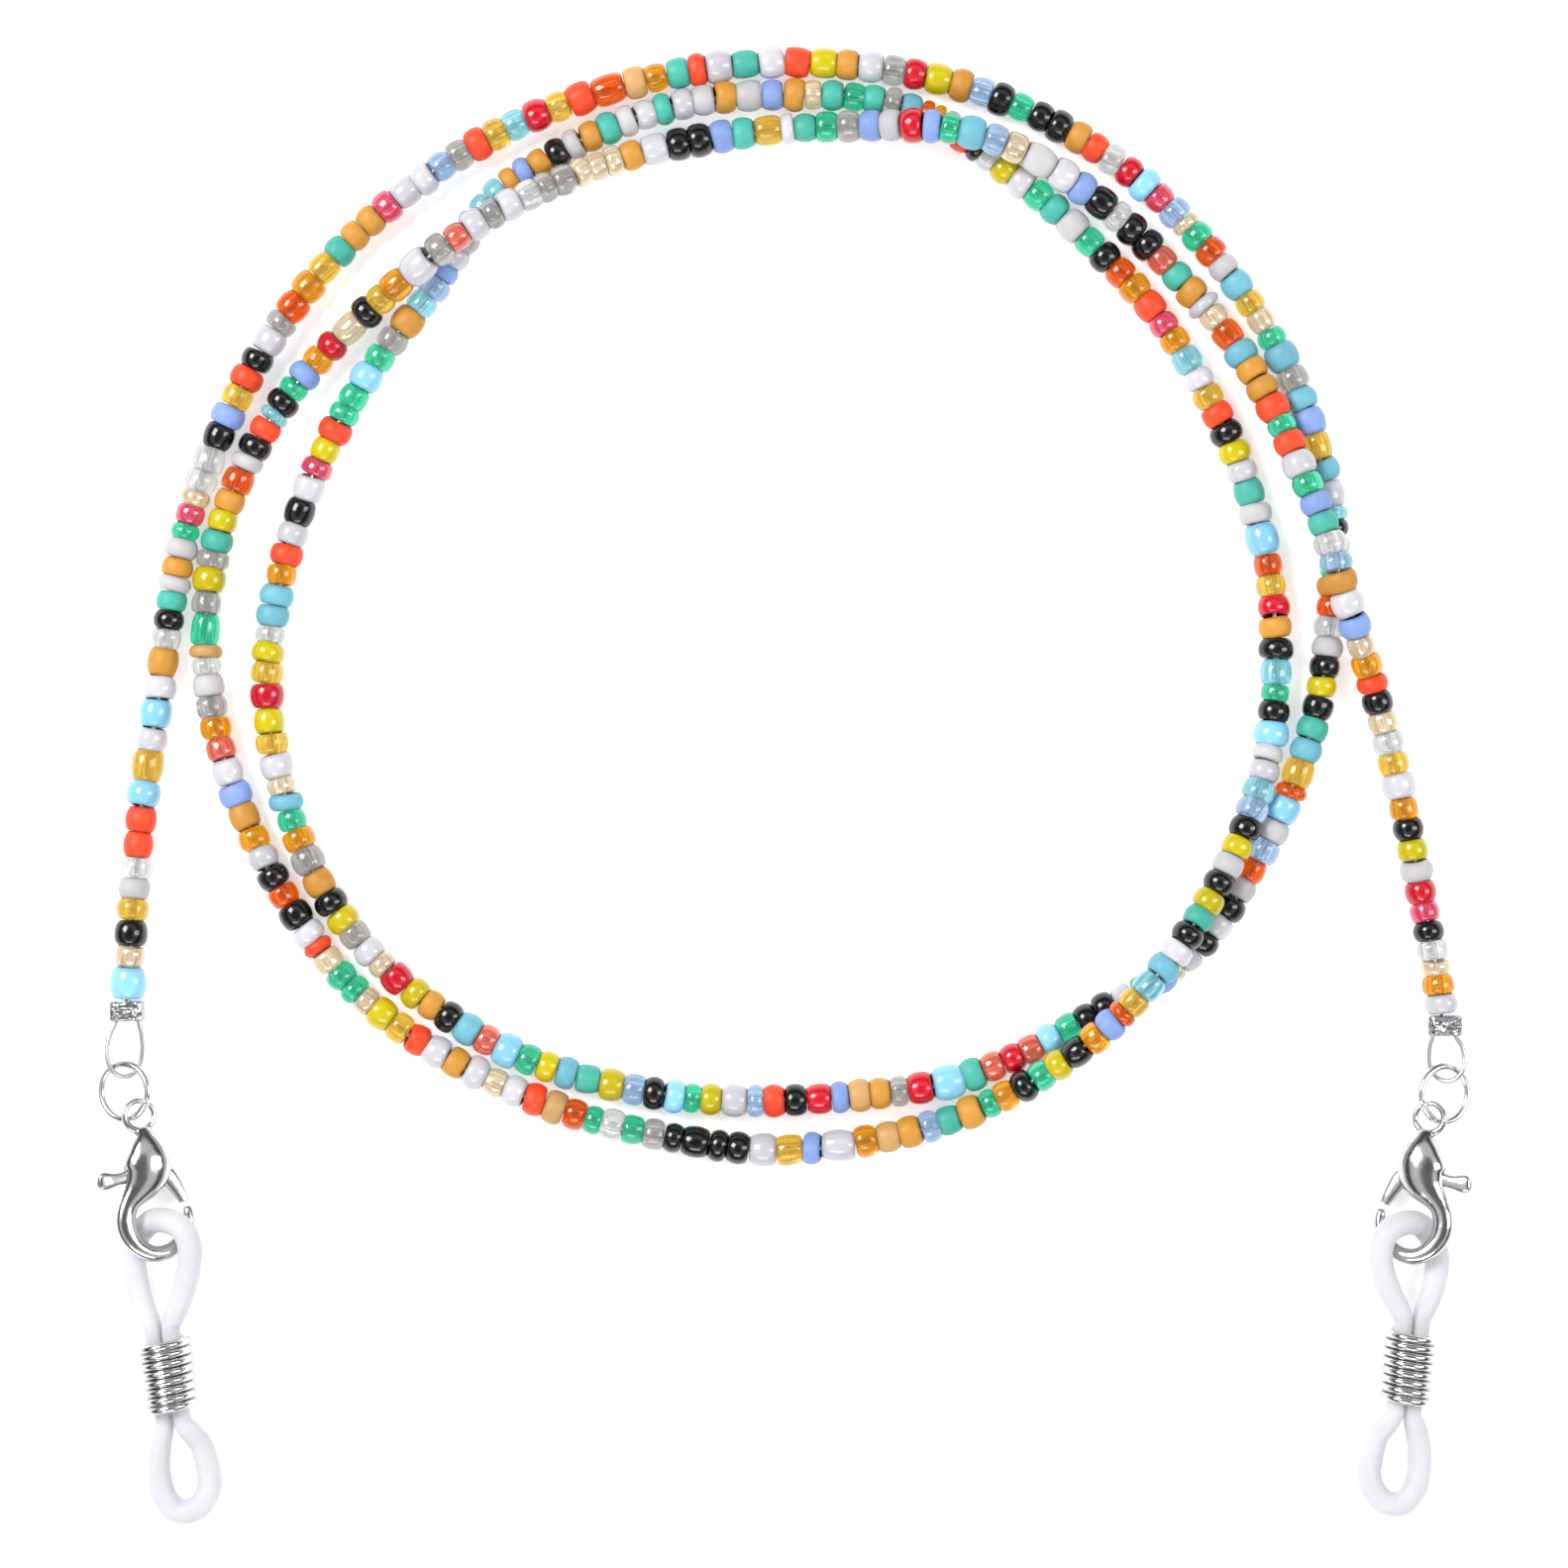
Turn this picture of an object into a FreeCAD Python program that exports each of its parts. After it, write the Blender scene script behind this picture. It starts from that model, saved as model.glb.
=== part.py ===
import FreeCAD, Part
import math
import os
from FreeCAD import Vector, Placement, Rotation

# Beaded eyeglass retainer strap, laid flat: a strand of glass seed beads on one beading wire,
# and at each end a crimp, wire loop, jump ring, lobster clasp, silicone loop and coil sleeve.
# Millimetres. +Z is up, the floor is Z = 0, the ends point to -Y.

doc = FreeCAD.newDocument("eyeglass_strap")

SIZES = [
    ("frame_shift_x", 0.2),     # from the strand's own coordinates to the part frame
    ("frame_shift_y", 36.4),
    ("thread_dia", 0.45),
    ("bead_bore", 0.9),
    ("bead_gap", 0.12),
    ("bead_corner", 0.5),
    ("rest_height", 1.32),      # strand centre over the floor
    ("crimp_width", 2.6),
    ("crimp_length", 1.5),
    ("crimp_thick", 1.3),
    ("crimp_slot_width", 2.2),
    ("crimp_slot_height", 0.5),
    ("ring_radius", 2.1),
    ("ring_wire", 0.6),
    ("ring_angle", 354.0),
    ("clasp_thick", 1.3),
    ("dome_width", 3.5),
    ("dome_length", 5.2),
    ("dome_height", 2.6),
    ("eye_radius", 1.12),
    ("eye_wire", 0.52),
    ("slot_height", 1.3),
    ("lever_thick", 0.8),
    ("pin_radius", 0.3),
    ("pin_length", 2.46),
    ("pin_play", 0.03),
    ("spring_radius", 0.55),
    ("spring_wire", 0.2),
    ("loop_radius", 0.9),
    ("leg_radius", 0.7),
    ("sleeve_radius", 1.78),
    ("sleeve_wire", 0.62),
    ("sleeve_pitch", 0.67),
    ("sleeve_turns", 8.0),
]

sheet = doc.addObject("Spreadsheet::Sheet", "Sizes")
for row, (alias, value) in enumerate(SIZES, 1):
    sheet.set("A%d" % row, alias)
    sheet.set("B%d" % row, str(value))
    sheet.setAlias("B%d" % row, alias)
doc.recompute()
S = {alias: float(sheet.get(alias)) for alias, value in SIZES}

# ---------------------------------------------------------------- the strand's route
# x, y of the strand's centre line, from the left crimp to the right one. A third number is
# the height where the strand climbs over itself; elsewhere it rests on the floor.
ROUTE = [
    (-50.1, -17.3), (-49.9, -12.4), (-49.4, -6.2), (-48.7, 0.5), (-47.6, 7.3), (-46.8, 13.5),
    (-45.6, 20.0), (-43.2, 26.5), (-39.6, 33.6), (-34.0, 40.75), (-27.1, 46.6), (-19.1, 51.0),
    (-10.1, 53.8), (-0.5, 55.1), (10.2, 54.1), (18.8, 51.2), (26.6, 46.3), (33.0, 39.7),
    (37.9, 32.4), (40.9, 23.8), (41.7, 17.4), (41.1, 10.7), (40.2, 5.0), (38.3, -0.6),
    (35.7, -5.8), (32.3, -11.35), (28.2, -15.0), (23.0, -17.6), (17.6, -20.7), (11.7, -22.9),
    (5.0, -23.7), (-1.5, -24.1), (-8.5, -23.8), (-14.85, -22.5), (-20.7, -20.6),
    (-26.05, -17.5), (-31.0, -13.7), (-35.15, -8.5), (-37.7, -2.8), (-39.3, 3.5),
    (-39.6, 9.6), (-38.6, 15.3), (-37.0, 21.0), (-34.6, 26.5), (-31.4, 31.9), (-27.5, 36.7),
    (-25.0, 40.5), (-23.0, 44.0), (-18.9, 47.2), (-12.7, 50.3), (-6.5, 52.1), (0.0, 52.4),
    (6.3, 52.2), (11.7, 50.6), (14.7, 48.1), (19.4, 44.6), (24.0, 40.2), (27.6, 36.4),
    (30.9, 31.5), (33.9, 25.7), (35.8, 20.0), (37.0, 14.1), (37.2, 8.0), (36.6, 2.4, 1.5),
    (34.9, -2.9, 2.8), (32.2, -8.3, 3.3), (28.7, -13.5, 4.1), (25.6, -17.0, 4.1),
    (22.0, -20.2, 3.2), (17.3, -23.3, 2.4), (11.5, -25.9, 1.4), (4.5, -27.4), (-2.0, -27.9),
    (-9.0, -26.8), (-15.7, -25.3), (-21.9, -22.8), (-27.8, -19.7), (-33.3, -15.4),
    (-37.6, -9.6), (-40.8, -3.6), (-43.1, 2.7), (-44.2, 9.0), (-44.1, 14.8), (-42.8, 20.6),
    (-40.3, 26.0), (-37.0, 30.8), (-32.4, 35.4, 1.5), (-27.4, 39.4, 4.0),
    (-23.05, 42.55, 4.0), (-19.1, 44.7, 3.2), (-13.1, 47.4, 1.9), (-7.0, 48.9),
    (-0.5, 49.8), (5.2, 49.9, 1.7), (10.9, 49.7, 4.0), (15.7, 48.7, 4.0), (20.2, 46.6, 2.8),
    (25.4, 43.0, 1.4), (29.7, 38.5), (33.5, 34.2, 1.5), (36.6, 28.9, 2.7), (38.9, 23.5, 3.4),
    (40.6, 19.1, 4.1), (41.9, 14.6, 4.1), (44.1, 8.6, 1.8), (45.8, 2.5), (47.2, -3.6),
    (48.3, -9.3), (49.25, -14.0), (49.9, -18.4),
]

# Bead kinds: letter, node name, outer diameter.
KINDS = [
    ("W", "beads_white", 2.35), ("F", "beads_milky", 2.35), ("C", "beads_clear", 2.3),
    ("B", "beads_black", 2.35), ("O", "beads_vermilion", 2.35), ("P", "beads_poppy", 2.25),
    ("A", "beads_tangerine", 2.25), ("G", "beads_honey", 2.25), ("M", "beads_mustard", 2.3),
    ("D", "beads_pale_mustard", 2.3), ("Y", "beads_yellow", 2.35),
    ("H", "beads_champagne", 2.15), ("E", "beads_emerald", 2.15), ("T", "beads_teal", 2.25),
    ("S", "beads_sky_blue", 2.5), ("Q", "beads_aqua_matte", 2.4),
    ("U", "beads_aqua_clear", 2.35), ("V", "beads_periwinkle", 2.35),
    ("L", "beads_light_blue", 2.35), ("K", "beads_smoke", 2.3), ("R", "beads_crimson", 2.35),
    ("N", "beads_magenta", 2.25), ("I", "beads_red_lustre", 2.25),
]

# Bead order, left crimp to right crimp: where a stretch starts, and its beads. A letter is a
# kind; after it, * or + is longer than usual, - or . shorter.
ORDER = [
    ((-50.0, -16.2), "S* H B+ G F C O+ O+ S+ G*"),
    ((-48.5, 2.6), "W+ S* W+ M* C B T F- M F E- N H-"),
    ((-44.8, 22.3), "C C+ B+ V G O B W+ K- P+ A+ G+"),
    ((-34.5, 40.0), "T M M N W+ W L K O G U R+ G O+"),
    ((-14.7, 52.3), "P* D A T O- W+ T+ W+ O+ Y+ M"),
    ((5.45, 54.5), "W+ K R Y+ M L B E B B M"),
    ((22.9, 48.9), "O C R S N L H. E P F Q+ G"),
    ((35.5, 35.9), "H E- Q+ K Q V+ G+ Q W+ U."),
    ((41.7, 20.1), "B- W E M P C F B Y"),
    ((40.6, 6.6), "B T Q G+ P. S+ F L P F B W"),
    ((32.2, -11.5), "B F H. V T W B B E S I R"),
    ((16.5, -21.3), "I T S* R+ K- M D V- R+ B O L- W+ Y"),
    ((-6.6, -23.8), "E- S B L Y+ T+ Q Y E S+ I Q+ B"),
    ((-26.4, -17.4), "M Y R+ H- W K Y B M+ K+ A E Q-"),
    ((-38.2, -0.7), "H- W+ G Y+ R+ G Y C- Q Q A O"),
    ((-37.6, 18.1), "W B+ W+ N- Y O E- E S+ E K M+"),
    ((-28.2, 35.9), "U L V- W K V- U U M- V- M B F- M T"),
    ((-12.9, 50.2), "F- W T- W F M F+ V M H- T"),
    ((4.25, 52.2), "E T K- Q P. A. W- O"),
    ((14.0, 48.6), "B. C- Y W E T F+ E B P A"),
    ((27.0, 37.1), "O+ N A U+ W G O B Y W T+"),
    ((35.5, 21.4), "F S* P G R M B U+ E-"),
    ((37.0, 6.3), "B S+ F- W U L B Y F B Y T B"),
    ((29.8, -12.3), "W Q U+ G P. V A B+ Y E B A E- M+"),
    ((13.2, -25.4), "T L- M D A W* V- G+ W+ B B- B+ B-"),
    ((-9.3, -26.6), "K E C E- P D O W H W M"),
    ((-25.8, -20.8), "W+ O G Y+ H- E- E H O. W B+ P"),
    ((-38.7, -7.8), "B W A M+ V W+ I A K F"),
    ((-43.9, 8.4), "C- D. E* K Y+ K- T Y M"),
    ((-42.1, 22.3), "P+ F- B O U. B E- V A R H* B G"),
    ((-29.8, 37.4), "A+ W* K I W K- W C K- K H- H- H- M W+"),
    ((-9.1, 48.3), "B B V T G+ W. T E K V F R V- E-"),
    ((13.0, 49.2), "Q+ L H F* W+ V B+ C- B B I T M"),
    ((31.3, 36.8), "W. H P+ Q M M O+ E- O W+ E V T"),
    ((40.7, 18.8), "C L- M W+ V H A O- B"),
    ((45.1, 5.5), "H C G W+ A B Y F"),
    ((47.9, -7.3), "R+ N B C H- A W"),
]
STRAND_END = (49.6, -17.4)
LENGTHS = {"": 1.0, "+": 1.2, "*": 1.5, "-": 0.8, ".": 0.6}

# ---------------------------------------------------------------- the two ends
# m mirrors a piece in X. Every place is x, y of the strand's own coordinates.
ENDS = [
    {"side": "left", "m": 1, "crimp": (-50.1, -17.2), "loop_length": 5.2,
     "ring": (-50.3, -23.3, 1.28), "clasp": (-48.6, -28.7, 1.95), "top": 0.0,
     "silicone": (-46.9, -44.7, 0.0), "silicone_turn": 7.1},
    {"side": "right", "m": -1, "crimp": (49.9, -18.3), "loop_length": 4.4,
     "ring": (49.9, -23.5, 1.28), "clasp": (48.2, -28.9, 1.95), "top": -0.8,
     "silicone": (47.0, -44.1, 0.0), "silicone_turn": -5.3},
]
RING_ROLL = 27.0        # jump ring: outer side of the strap low, inner side high
CLASP_ROLL = 20.0       # clasp: outer side high
CLASP_PITCH = 5.5       # clasp: eye end low


def framed(place):
    """A point of the strand's coordinates, in the part frame."""
    z = place[2] if len(place) > 2 else S["rest_height"]
    return Vector(place[0] + S["frame_shift_x"], place[1] + S["frame_shift_y"], z)


def tangent_path(points, closed=False, share=0.45):
    """Straight runs joined by tangent arcs; returns the edges and the arcs' radii."""
    pts = [Vector(*p) for p in points]
    count = len(pts)
    runs = [(pts[(i + 1) % count] - pts[i]).Length for i in range(count if closed else count - 1)]
    cuts = {}
    radii = []
    for i in (range(count) if closed else range(1, count - 1)):
        before = (pts[i] - pts[i - 1]).normalize()
        after = (pts[(i + 1) % count] - pts[i]).normalize()
        shorter = min(runs[i - 1], runs[i % len(runs)])
        reach = share * shorter
        half = before.getAngle(after) / 2.0
        radii.append(reach / math.tan(half))
        start = pts[i] - before * reach
        end = pts[i] + after * reach
        inward = (after - before).normalize()
        middle = pts[i] + inward * (radii[-1] / math.cos(half) - radii[-1])
        cuts[i] = (start, middle, end)
    edges = []
    order = range(count) if closed else range(count - 1)
    for i in order:
        j = (i + 1) % count
        begin = cuts[i][2] if i in cuts else pts[i]
        finish = cuts[j][0] if j in cuts else pts[j]
        edges.append(Part.LineSegment(begin, finish).toShape())
        if j in cuts:
            edges.append(Part.Arc(*cuts[j]).toShape())
    return edges, radii


def add_sweep(label, edges, radius_alias, placement):
    """A round rod along the edges, as a Part::Sweep whose section is bound to the sheet."""
    spine = doc.addObject("Part::Feature", label + "_path")
    spine.Shape = Part.Wire(edges)
    first = edges[0]
    start = first.valueAt(first.FirstParameter)
    along = first.tangentAt(first.FirstParameter)
    section = doc.addObject("Part::Circle", label + "_section")
    section.setExpression("Radius", radius_alias)
    section.Placement = Placement(start, Rotation(Vector(0, 0, 1), along))
    sweep = doc.addObject("Part::Sweep", label)
    sweep.Label = label
    sweep.Sections = [section]
    sweep.Spine = (spine, ["Edge%d" % (i + 1) for i in range(len(edges))])
    sweep.Solid = True
    sweep.Frenet = False
    sweep.Placement = placement
    return sweep


# ---------------------------------------------------------------- beads
def make_bead(length, outer, bore, corner):
    """One bead about its own Z axis: a rounded ring of glass with a straight bore."""
    r_in = bore / 2.0
    r_out = outer / 2.0
    half = length / 2.0
    c = min(corner, half * 0.96, (r_out - r_in) * 0.75)
    bulge = c * (1.0 - math.sqrt(0.5))
    p = [Vector(r_in, 0, -half), Vector(r_out - c, 0, -half), Vector(r_out, 0, -half + c),
         Vector(r_out, 0, half - c), Vector(r_out - c, 0, half), Vector(r_in, 0, half)]
    low = Vector(r_out - bulge, 0, -half + bulge)
    high = Vector(r_out - bulge, 0, half - bulge)
    outline = Part.Wire([
        Part.LineSegment(p[0], p[1]).toShape(), Part.Arc(p[1], low, p[2]).toShape(),
        Part.LineSegment(p[2], p[3]).toShape(), Part.Arc(p[3], high, p[4]).toShape(),
        Part.LineSegment(p[4], p[5]).toShape(), Part.LineSegment(p[5], p[0]).toShape()])
    return Part.Face(outline).revolve(Vector(0, 0, 0), Vector(0, 0, 1), 360.0)


def read_order():
    """The order lines as (start, [(kind, relative length)])."""
    return [(start, [(word[0], LENGTHS[word[1:]]) for word in text.split()])
            for start, text in ORDER]


def place_on(edges, starts, distance):
    """Position and direction at a distance along the edges."""
    index = 0
    while index + 1 < len(edges) and starts[index + 1] <= distance:
        index += 1
    edge = edges[index]
    at = edge.getParameterByLength(min(max(distance - starts[index], 0.0), edge.Length))
    return edge.valueAt(at), edge.tangentAt(at)


def nearest(edges, starts, target, after):
    """Distance along the edges, within 40 mm past another, where they come nearest a point."""
    places = [after + 0.1 * i for i in range(400)]
    return min(places, key=lambda place: (place_on(edges, starts, place)[0] - target).Length)


def add_strand():
    edges, radii = tangent_path([framed(p) for p in ROUTE])
    section_area = math.pi * (S["thread_dia"] / 2.0) ** 2
    total = sum(edge.Length for edge in edges)
    print("strand radii from %.1f to %.1f mm" % (min(radii), max(radii)))
    wire = add_sweep("beading_wire", edges, "Sizes.thread_dia / 2", Placement())
    starts = [0.0]
    for edge in edges:
        starts.append(starts[-1] + edge.Length)
    diameters = {letter: outer for letter, node, outer in KINDS}
    shapes = {letter: [] for letter, node, outer in KINDS}
    lines = read_order()
    marks = [0.0]
    for start in [line[0] for line in lines] + [STRAND_END]:
        marks.append(nearest(edges, starts, framed(start), marks[-1]))
    for (start, beads), begin, finish in zip(lines, marks[1:], marks[2:]):
        place = begin
        share = (finish - begin) / sum(size for kind, size in beads)
        for kind, size in beads:
            length = size * share
            at, along = place_on(edges, starts, place + length / 2.0)
            bead = make_bead(length - S["bead_gap"], diameters[kind], S["bead_bore"],
                             S["bead_corner"])
            bead.Placement = Placement(at, Rotation(Vector(0, 0, 1), along))
            shapes[kind].append(bead)
            place += length
    for letter, node, outer in KINDS:
        group = doc.addObject("Part::Feature", node)
        group.Label = node
        group.Shape = Part.Compound(shapes[letter])
        group.Placement = Placement()
    print("strand %.1f mm, %d beads" % (total, sum(len(s) for s in shapes.values())))
    return wire, section_area * total


# ---------------------------------------------------------------- metal ends
def plane_of(body, role):
    return [f for f in body.Origin.OriginFeatures if f.Role == role][0]


def add_sketch(body, name, role, geometry):
    sketch = body.newObject("Sketcher::SketchObject", name)
    sketch.AttachmentSupport = [(plane_of(body, role), "")]
    sketch.MapMode = "FlatFace"
    for item in geometry:
        sketch.addGeometry(item, False)
    return sketch


def add_body(label):
    body = doc.addObject("PartDesign::Body", label)
    body.Label = label
    return body


def slot_outline(width, height):
    """A stadium centred on the origin."""
    r = height / 2.0
    x = width / 2.0 - r
    return [Part.LineSegment(Vector(-x, r, 0), Vector(x, r, 0)),
            Part.Arc(Vector(x, r, 0), Vector(x + r, 0, 0), Vector(x, -r, 0)),
            Part.LineSegment(Vector(x, -r, 0), Vector(-x, -r, 0)),
            Part.Arc(Vector(-x, -r, 0), Vector(-x - r, 0, 0), Vector(-x, r, 0))]


def add_crimp(end):
    """A short tube pressed flat over the wires."""
    body = add_body(end["side"] + "_crimp_tube")
    outer = slot_outline(S["crimp_width"], S["crimp_thick"])
    inner = slot_outline(S["crimp_slot_width"], S["crimp_slot_height"])
    sketch = add_sketch(body, end["side"] + "_crimp_section", "XZ_Plane", outer + inner)
    pad = body.newObject("PartDesign::Pad", end["side"] + "_crimp_pad")
    pad.Profile = sketch
    pad.setExpression("Length", "Sizes.crimp_length")
    pad.Midplane = True
    body.Tip = pad
    sketch.Visibility = False
    body.Placement = Placement(framed(end["crimp"]), Rotation())


def add_wire_loop(end):
    """The beading wire's turned-back end, through the jump ring."""
    m = end["m"]
    low = end["loop_length"] / 5.2
    points = [(-0.8, 0.4, 0.0), (-0.8, -0.85, 0.0), (-1.4, -2.8 * low, 0.22),
              (-1.2, -4.4 * low, 0.28), (-0.2, -5.2 * low, -0.05), (0.8, -4.4 * low, -0.35),
              (1.0, -2.7 * low, -0.25), (0.8, -0.85, 0.0), (0.8, 0.4, 0.0)]
    edges = tangent_path([(m * x, y, z) for x, y, z in points])[0]
    add_sweep(end["side"] + "_wire_loop", edges, "Sizes.thread_dia / 2",
              Placement(framed(end["crimp"]), Rotation()))


def add_ring(end):
    """A split jump ring."""
    ring = doc.addObject("Part::Torus", end["side"] + "_jump_ring")
    ring.Label = end["side"] + "_jump_ring"
    ring.setExpression("Radius1", "Sizes.ring_radius")
    ring.setExpression("Radius2", "Sizes.ring_wire / 2")
    ring.setExpression("Angle3", "Sizes.ring_angle")
    split = Rotation(Vector(0, 0, 1), -12.0 if end["m"] > 0 else 198.0)
    roll = Rotation(Vector(0, 1, 0), -RING_ROLL * end["m"])
    ring.Placement = Placement(framed(end["ring"]), roll * split)


def clasp_placement(end):
    pitch = Rotation(Vector(1, 0, 0), -CLASP_PITCH)
    roll = Rotation(Vector(0, 1, 0), CLASP_ROLL * end["m"])
    return Placement(framed(end["clasp"]), pitch * roll)


PIVOT = (0.2, -0.3)
EYE = (-0.53, 3.61)
HOOK_OUT = (0.82, -4.36, 3.08)
HOOK_IN = (1.2, -4.44, 1.73)


def arc_points(circle, m, angles):
    x, y, r = circle
    return [Vector(m * (x + r * math.cos(math.radians(a))), y + r * math.sin(math.radians(a)), 0)
            for a in angles]


def add_clasp_body(end):
    """Domed body with the eye, the lever's slot and the fixed hook."""
    m = end["m"]
    name = end["side"] + "_clasp_body"
    body = add_body(name)
    outer = arc_points(HOOK_OUT, m, (146, 264, 22))
    inner = arc_points(HOOK_IN, m, (16, 258, 130))
    root = [Vector(m * x, y, 0) for x, y in ((0.35, -2.2), (0.35, -0.9), (-1.3, -0.9))]
    hook = add_sketch(body, name + "_hook_outline", "XY_Plane", [
        Part.Arc(outer[0], outer[1], outer[2]), Part.LineSegment(outer[2], inner[0]),
        Part.Arc(inner[0], inner[1], inner[2]), Part.LineSegment(inner[2], root[0]),
        Part.LineSegment(root[0], root[1]), Part.LineSegment(root[1], root[2]),
        Part.LineSegment(root[2], outer[0])])
    pad = body.newObject("PartDesign::Pad", name + "_hook")
    pad.Profile = hook
    pad.setExpression("Length", "Sizes.clasp_thick")
    pad.Midplane = True
    hook.Visibility = False
    body.Tip = pad
    doc.recompute()
    round_edges = body.newObject("PartDesign::Fillet", name + "_hook_round")
    round_edges.Base = (pad, flat_edges(pad.Shape))
    round_edges.Radius = 0.45
    body.Tip = round_edges
    dome = body.newObject("PartDesign::AdditiveEllipsoid", name + "_dome")
    dome.setExpression("Radius1", "Sizes.dome_height / 2")
    dome.setExpression("Radius2", "Sizes.dome_width / 2")
    dome.setExpression("Radius3", "Sizes.dome_length / 2")
    dome.Placement = Placement(Vector(m * 0.22, -0.1, 0), Rotation())
    body.Tip = dome
    neck = body.newObject("PartDesign::AdditiveEllipsoid", name + "_neck")
    neck.Radius1 = 0.62
    neck.Radius2 = 0.85
    neck.Radius3 = 1.0
    neck.Placement = Placement(Vector(m * -0.25, 1.9, 0), Rotation())
    body.Tip = neck
    eye = body.newObject("PartDesign::AdditiveTorus", name + "_eye")
    eye.setExpression("Radius1", "Sizes.eye_radius")
    eye.setExpression("Radius2", "Sizes.eye_wire / 2")
    eye.Placement = Placement(Vector(m * EYE[0], EYE[1], 0), Rotation())
    body.Tip = eye
    for number, (x0, x1, y0, y1) in enumerate(((-2.4, 3.2, -1.9, 0.9), (0.36, 3.2, -3.6, -1.8))):
        slot = body.newObject("PartDesign::SubtractiveBox", name + "_slot_%d" % number)
        slot.Length = x1 - x0
        slot.Width = y1 - y0
        slot.setExpression("Height", "Sizes.slot_height")
        left = x0 if m > 0 else -x1
        slot.Placement = Placement(Vector(left, y0, -S["slot_height"] / 2.0), Rotation())
        body.Tip = slot
    hole = body.newObject("PartDesign::SubtractiveCylinder", name + "_pin_hole")
    hole.setExpression("Radius", "Sizes.pin_radius")
    hole.Height = 4.0
    hole.Placement = Placement(Vector(m * PIVOT[0], PIVOT[1], -2.0), Rotation())
    body.Tip = hole
    body.Placement = clasp_placement(end)


def flat_edges(shape):
    """Names of the edges lying in the two flat faces of a pad."""
    return ["Edge%d" % number for number, edge in enumerate(shape.Edges, 1)
            if edge.BoundBox.ZLength < 0.01]


LEVER = [(-1.7, -0.72), (-2.6, -0.78), (-3.35, -0.95), (-3.68, -1.5), (-3.3, -2.15),
         (-2.3, -2.0), (-1.3, -1.6), (-0.5, -1.2), (0.25, -1.1), (1.05, -1.1), (1.75, -1.5),
         (2.2, -2.2), (2.4, -2.95), (2.75, -3.3), (3.2, -3.0), (3.35, -2.1), (3.05, -0.9),
         (2.3, 0.0), (1.3, 0.45), (0.3, 0.55), (-0.6, 0.25)]


def add_lever(end):
    """Spring-loaded lever: thumb tab outside, jaw inside, meeting the hook's tip."""
    m = end["m"]
    name = end["side"] + "_clasp_lever"
    body = add_body(name)
    points = [Vector(m * x, y, 0) for x, y in LEVER]
    curve = Part.BSplineCurve()
    curve.interpolate(points, PeriodicFlag=True)
    outline = add_sketch(body, name + "_outline", "XY_Plane", [curve])
    pad = body.newObject("PartDesign::Pad", name + "_pad")
    pad.Profile = outline
    pad.setExpression("Length", "Sizes.lever_thick")
    outline.Visibility = False
    body.Tip = pad
    doc.recompute()
    soft = body.newObject("PartDesign::Fillet", name + "_round")
    soft.Base = (pad, flat_edges(pad.Shape))
    soft.Radius = 0.2
    body.Tip = soft
    hole = body.newObject("PartDesign::SubtractiveCylinder", name + "_pin_hole")
    hole.setExpression("Radius", "Sizes.pin_radius + Sizes.pin_play")
    hole.Height = 4.0
    hole.Placement = Placement(Vector(m * PIVOT[0], PIVOT[1], -2.0), Rotation())
    body.Tip = hole
    lift = Placement(Vector(0, 0, -0.55), Rotation())
    body.Placement = clasp_placement(end).multiply(lift)


def add_pin(end):
    """Rivet the lever turns on."""
    pin = doc.addObject("Part::Cylinder", end["side"] + "_lever_pin")
    pin.Label = end["side"] + "_lever_pin"
    pin.setExpression("Radius", "Sizes.pin_radius")
    pin.setExpression("Height", "Sizes.pin_length")
    local = Placement(Vector(end["m"] * PIVOT[0], PIVOT[1], -S["pin_length"] / 2.0), Rotation())
    pin.Placement = clasp_placement(end).multiply(local)


def add_spring(end):
    """Return spring round the pin, above the lever in the slot."""
    spring = doc.addObject("Part::Torus", end["side"] + "_lever_spring")
    spring.Label = end["side"] + "_lever_spring"
    spring.setExpression("Radius1", "Sizes.spring_radius")
    spring.setExpression("Radius2", "Sizes.spring_wire / 2")
    spring.Angle3 = 290.0
    local = Placement(Vector(end["m"] * PIVOT[0], PIVOT[1], 0.43), Rotation())
    spring.Placement = clasp_placement(end).multiply(local)


# ---------------------------------------------------------------- silicone end
# The pinched loop in its own frame: origin under the sleeve's centre, +y to the clasp. The
# inner side of the strap rises over the hook, the outer side passes under it.
SLEEVE_Z = 2.12
UPPER = [(0.66, 4.9, 2.36), (2.8, 7.9, 3.0), (3.15, 10.0, 3.3), (1.8, 11.65, 3.0),
         (-0.1, 11.6, 0.95), (-1.65, 9.8, 0.93), (-1.7, 7.6, 0.93), (-0.66, 4.9, 1.88)]
LOWER = [(-0.66, -4.6, 1.88), (-1.85, -6.3, 1.2), (-1.92, -8.7, 0.95), (-1.0, -10.6, 0.95),
         (1.0, -10.6, 0.95), (1.92, -8.7, 0.95), (1.85, -6.3, 1.3), (0.66, -4.6, 2.36)]


def add_cone(label, line, wide_first):
    """A short cone over a straight edge, between the leg's radius and the loop's."""
    ends = [line.valueAt(line.FirstParameter), line.valueAt(line.LastParameter)]
    along = (ends[1] - ends[0]).normalize()
    cone = doc.addObject("Part::Cone", label)
    radii = ["Sizes.loop_radius", "Sizes.leg_radius"]
    cone.setExpression("Radius1", radii[0] if wide_first else radii[1])
    cone.setExpression("Radius2", radii[1] if wide_first else radii[0])
    cone.Height = line.Length
    cone.Placement = Placement(ends[0], Rotation(Vector(0, 0, 1), along))
    return cone


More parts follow.
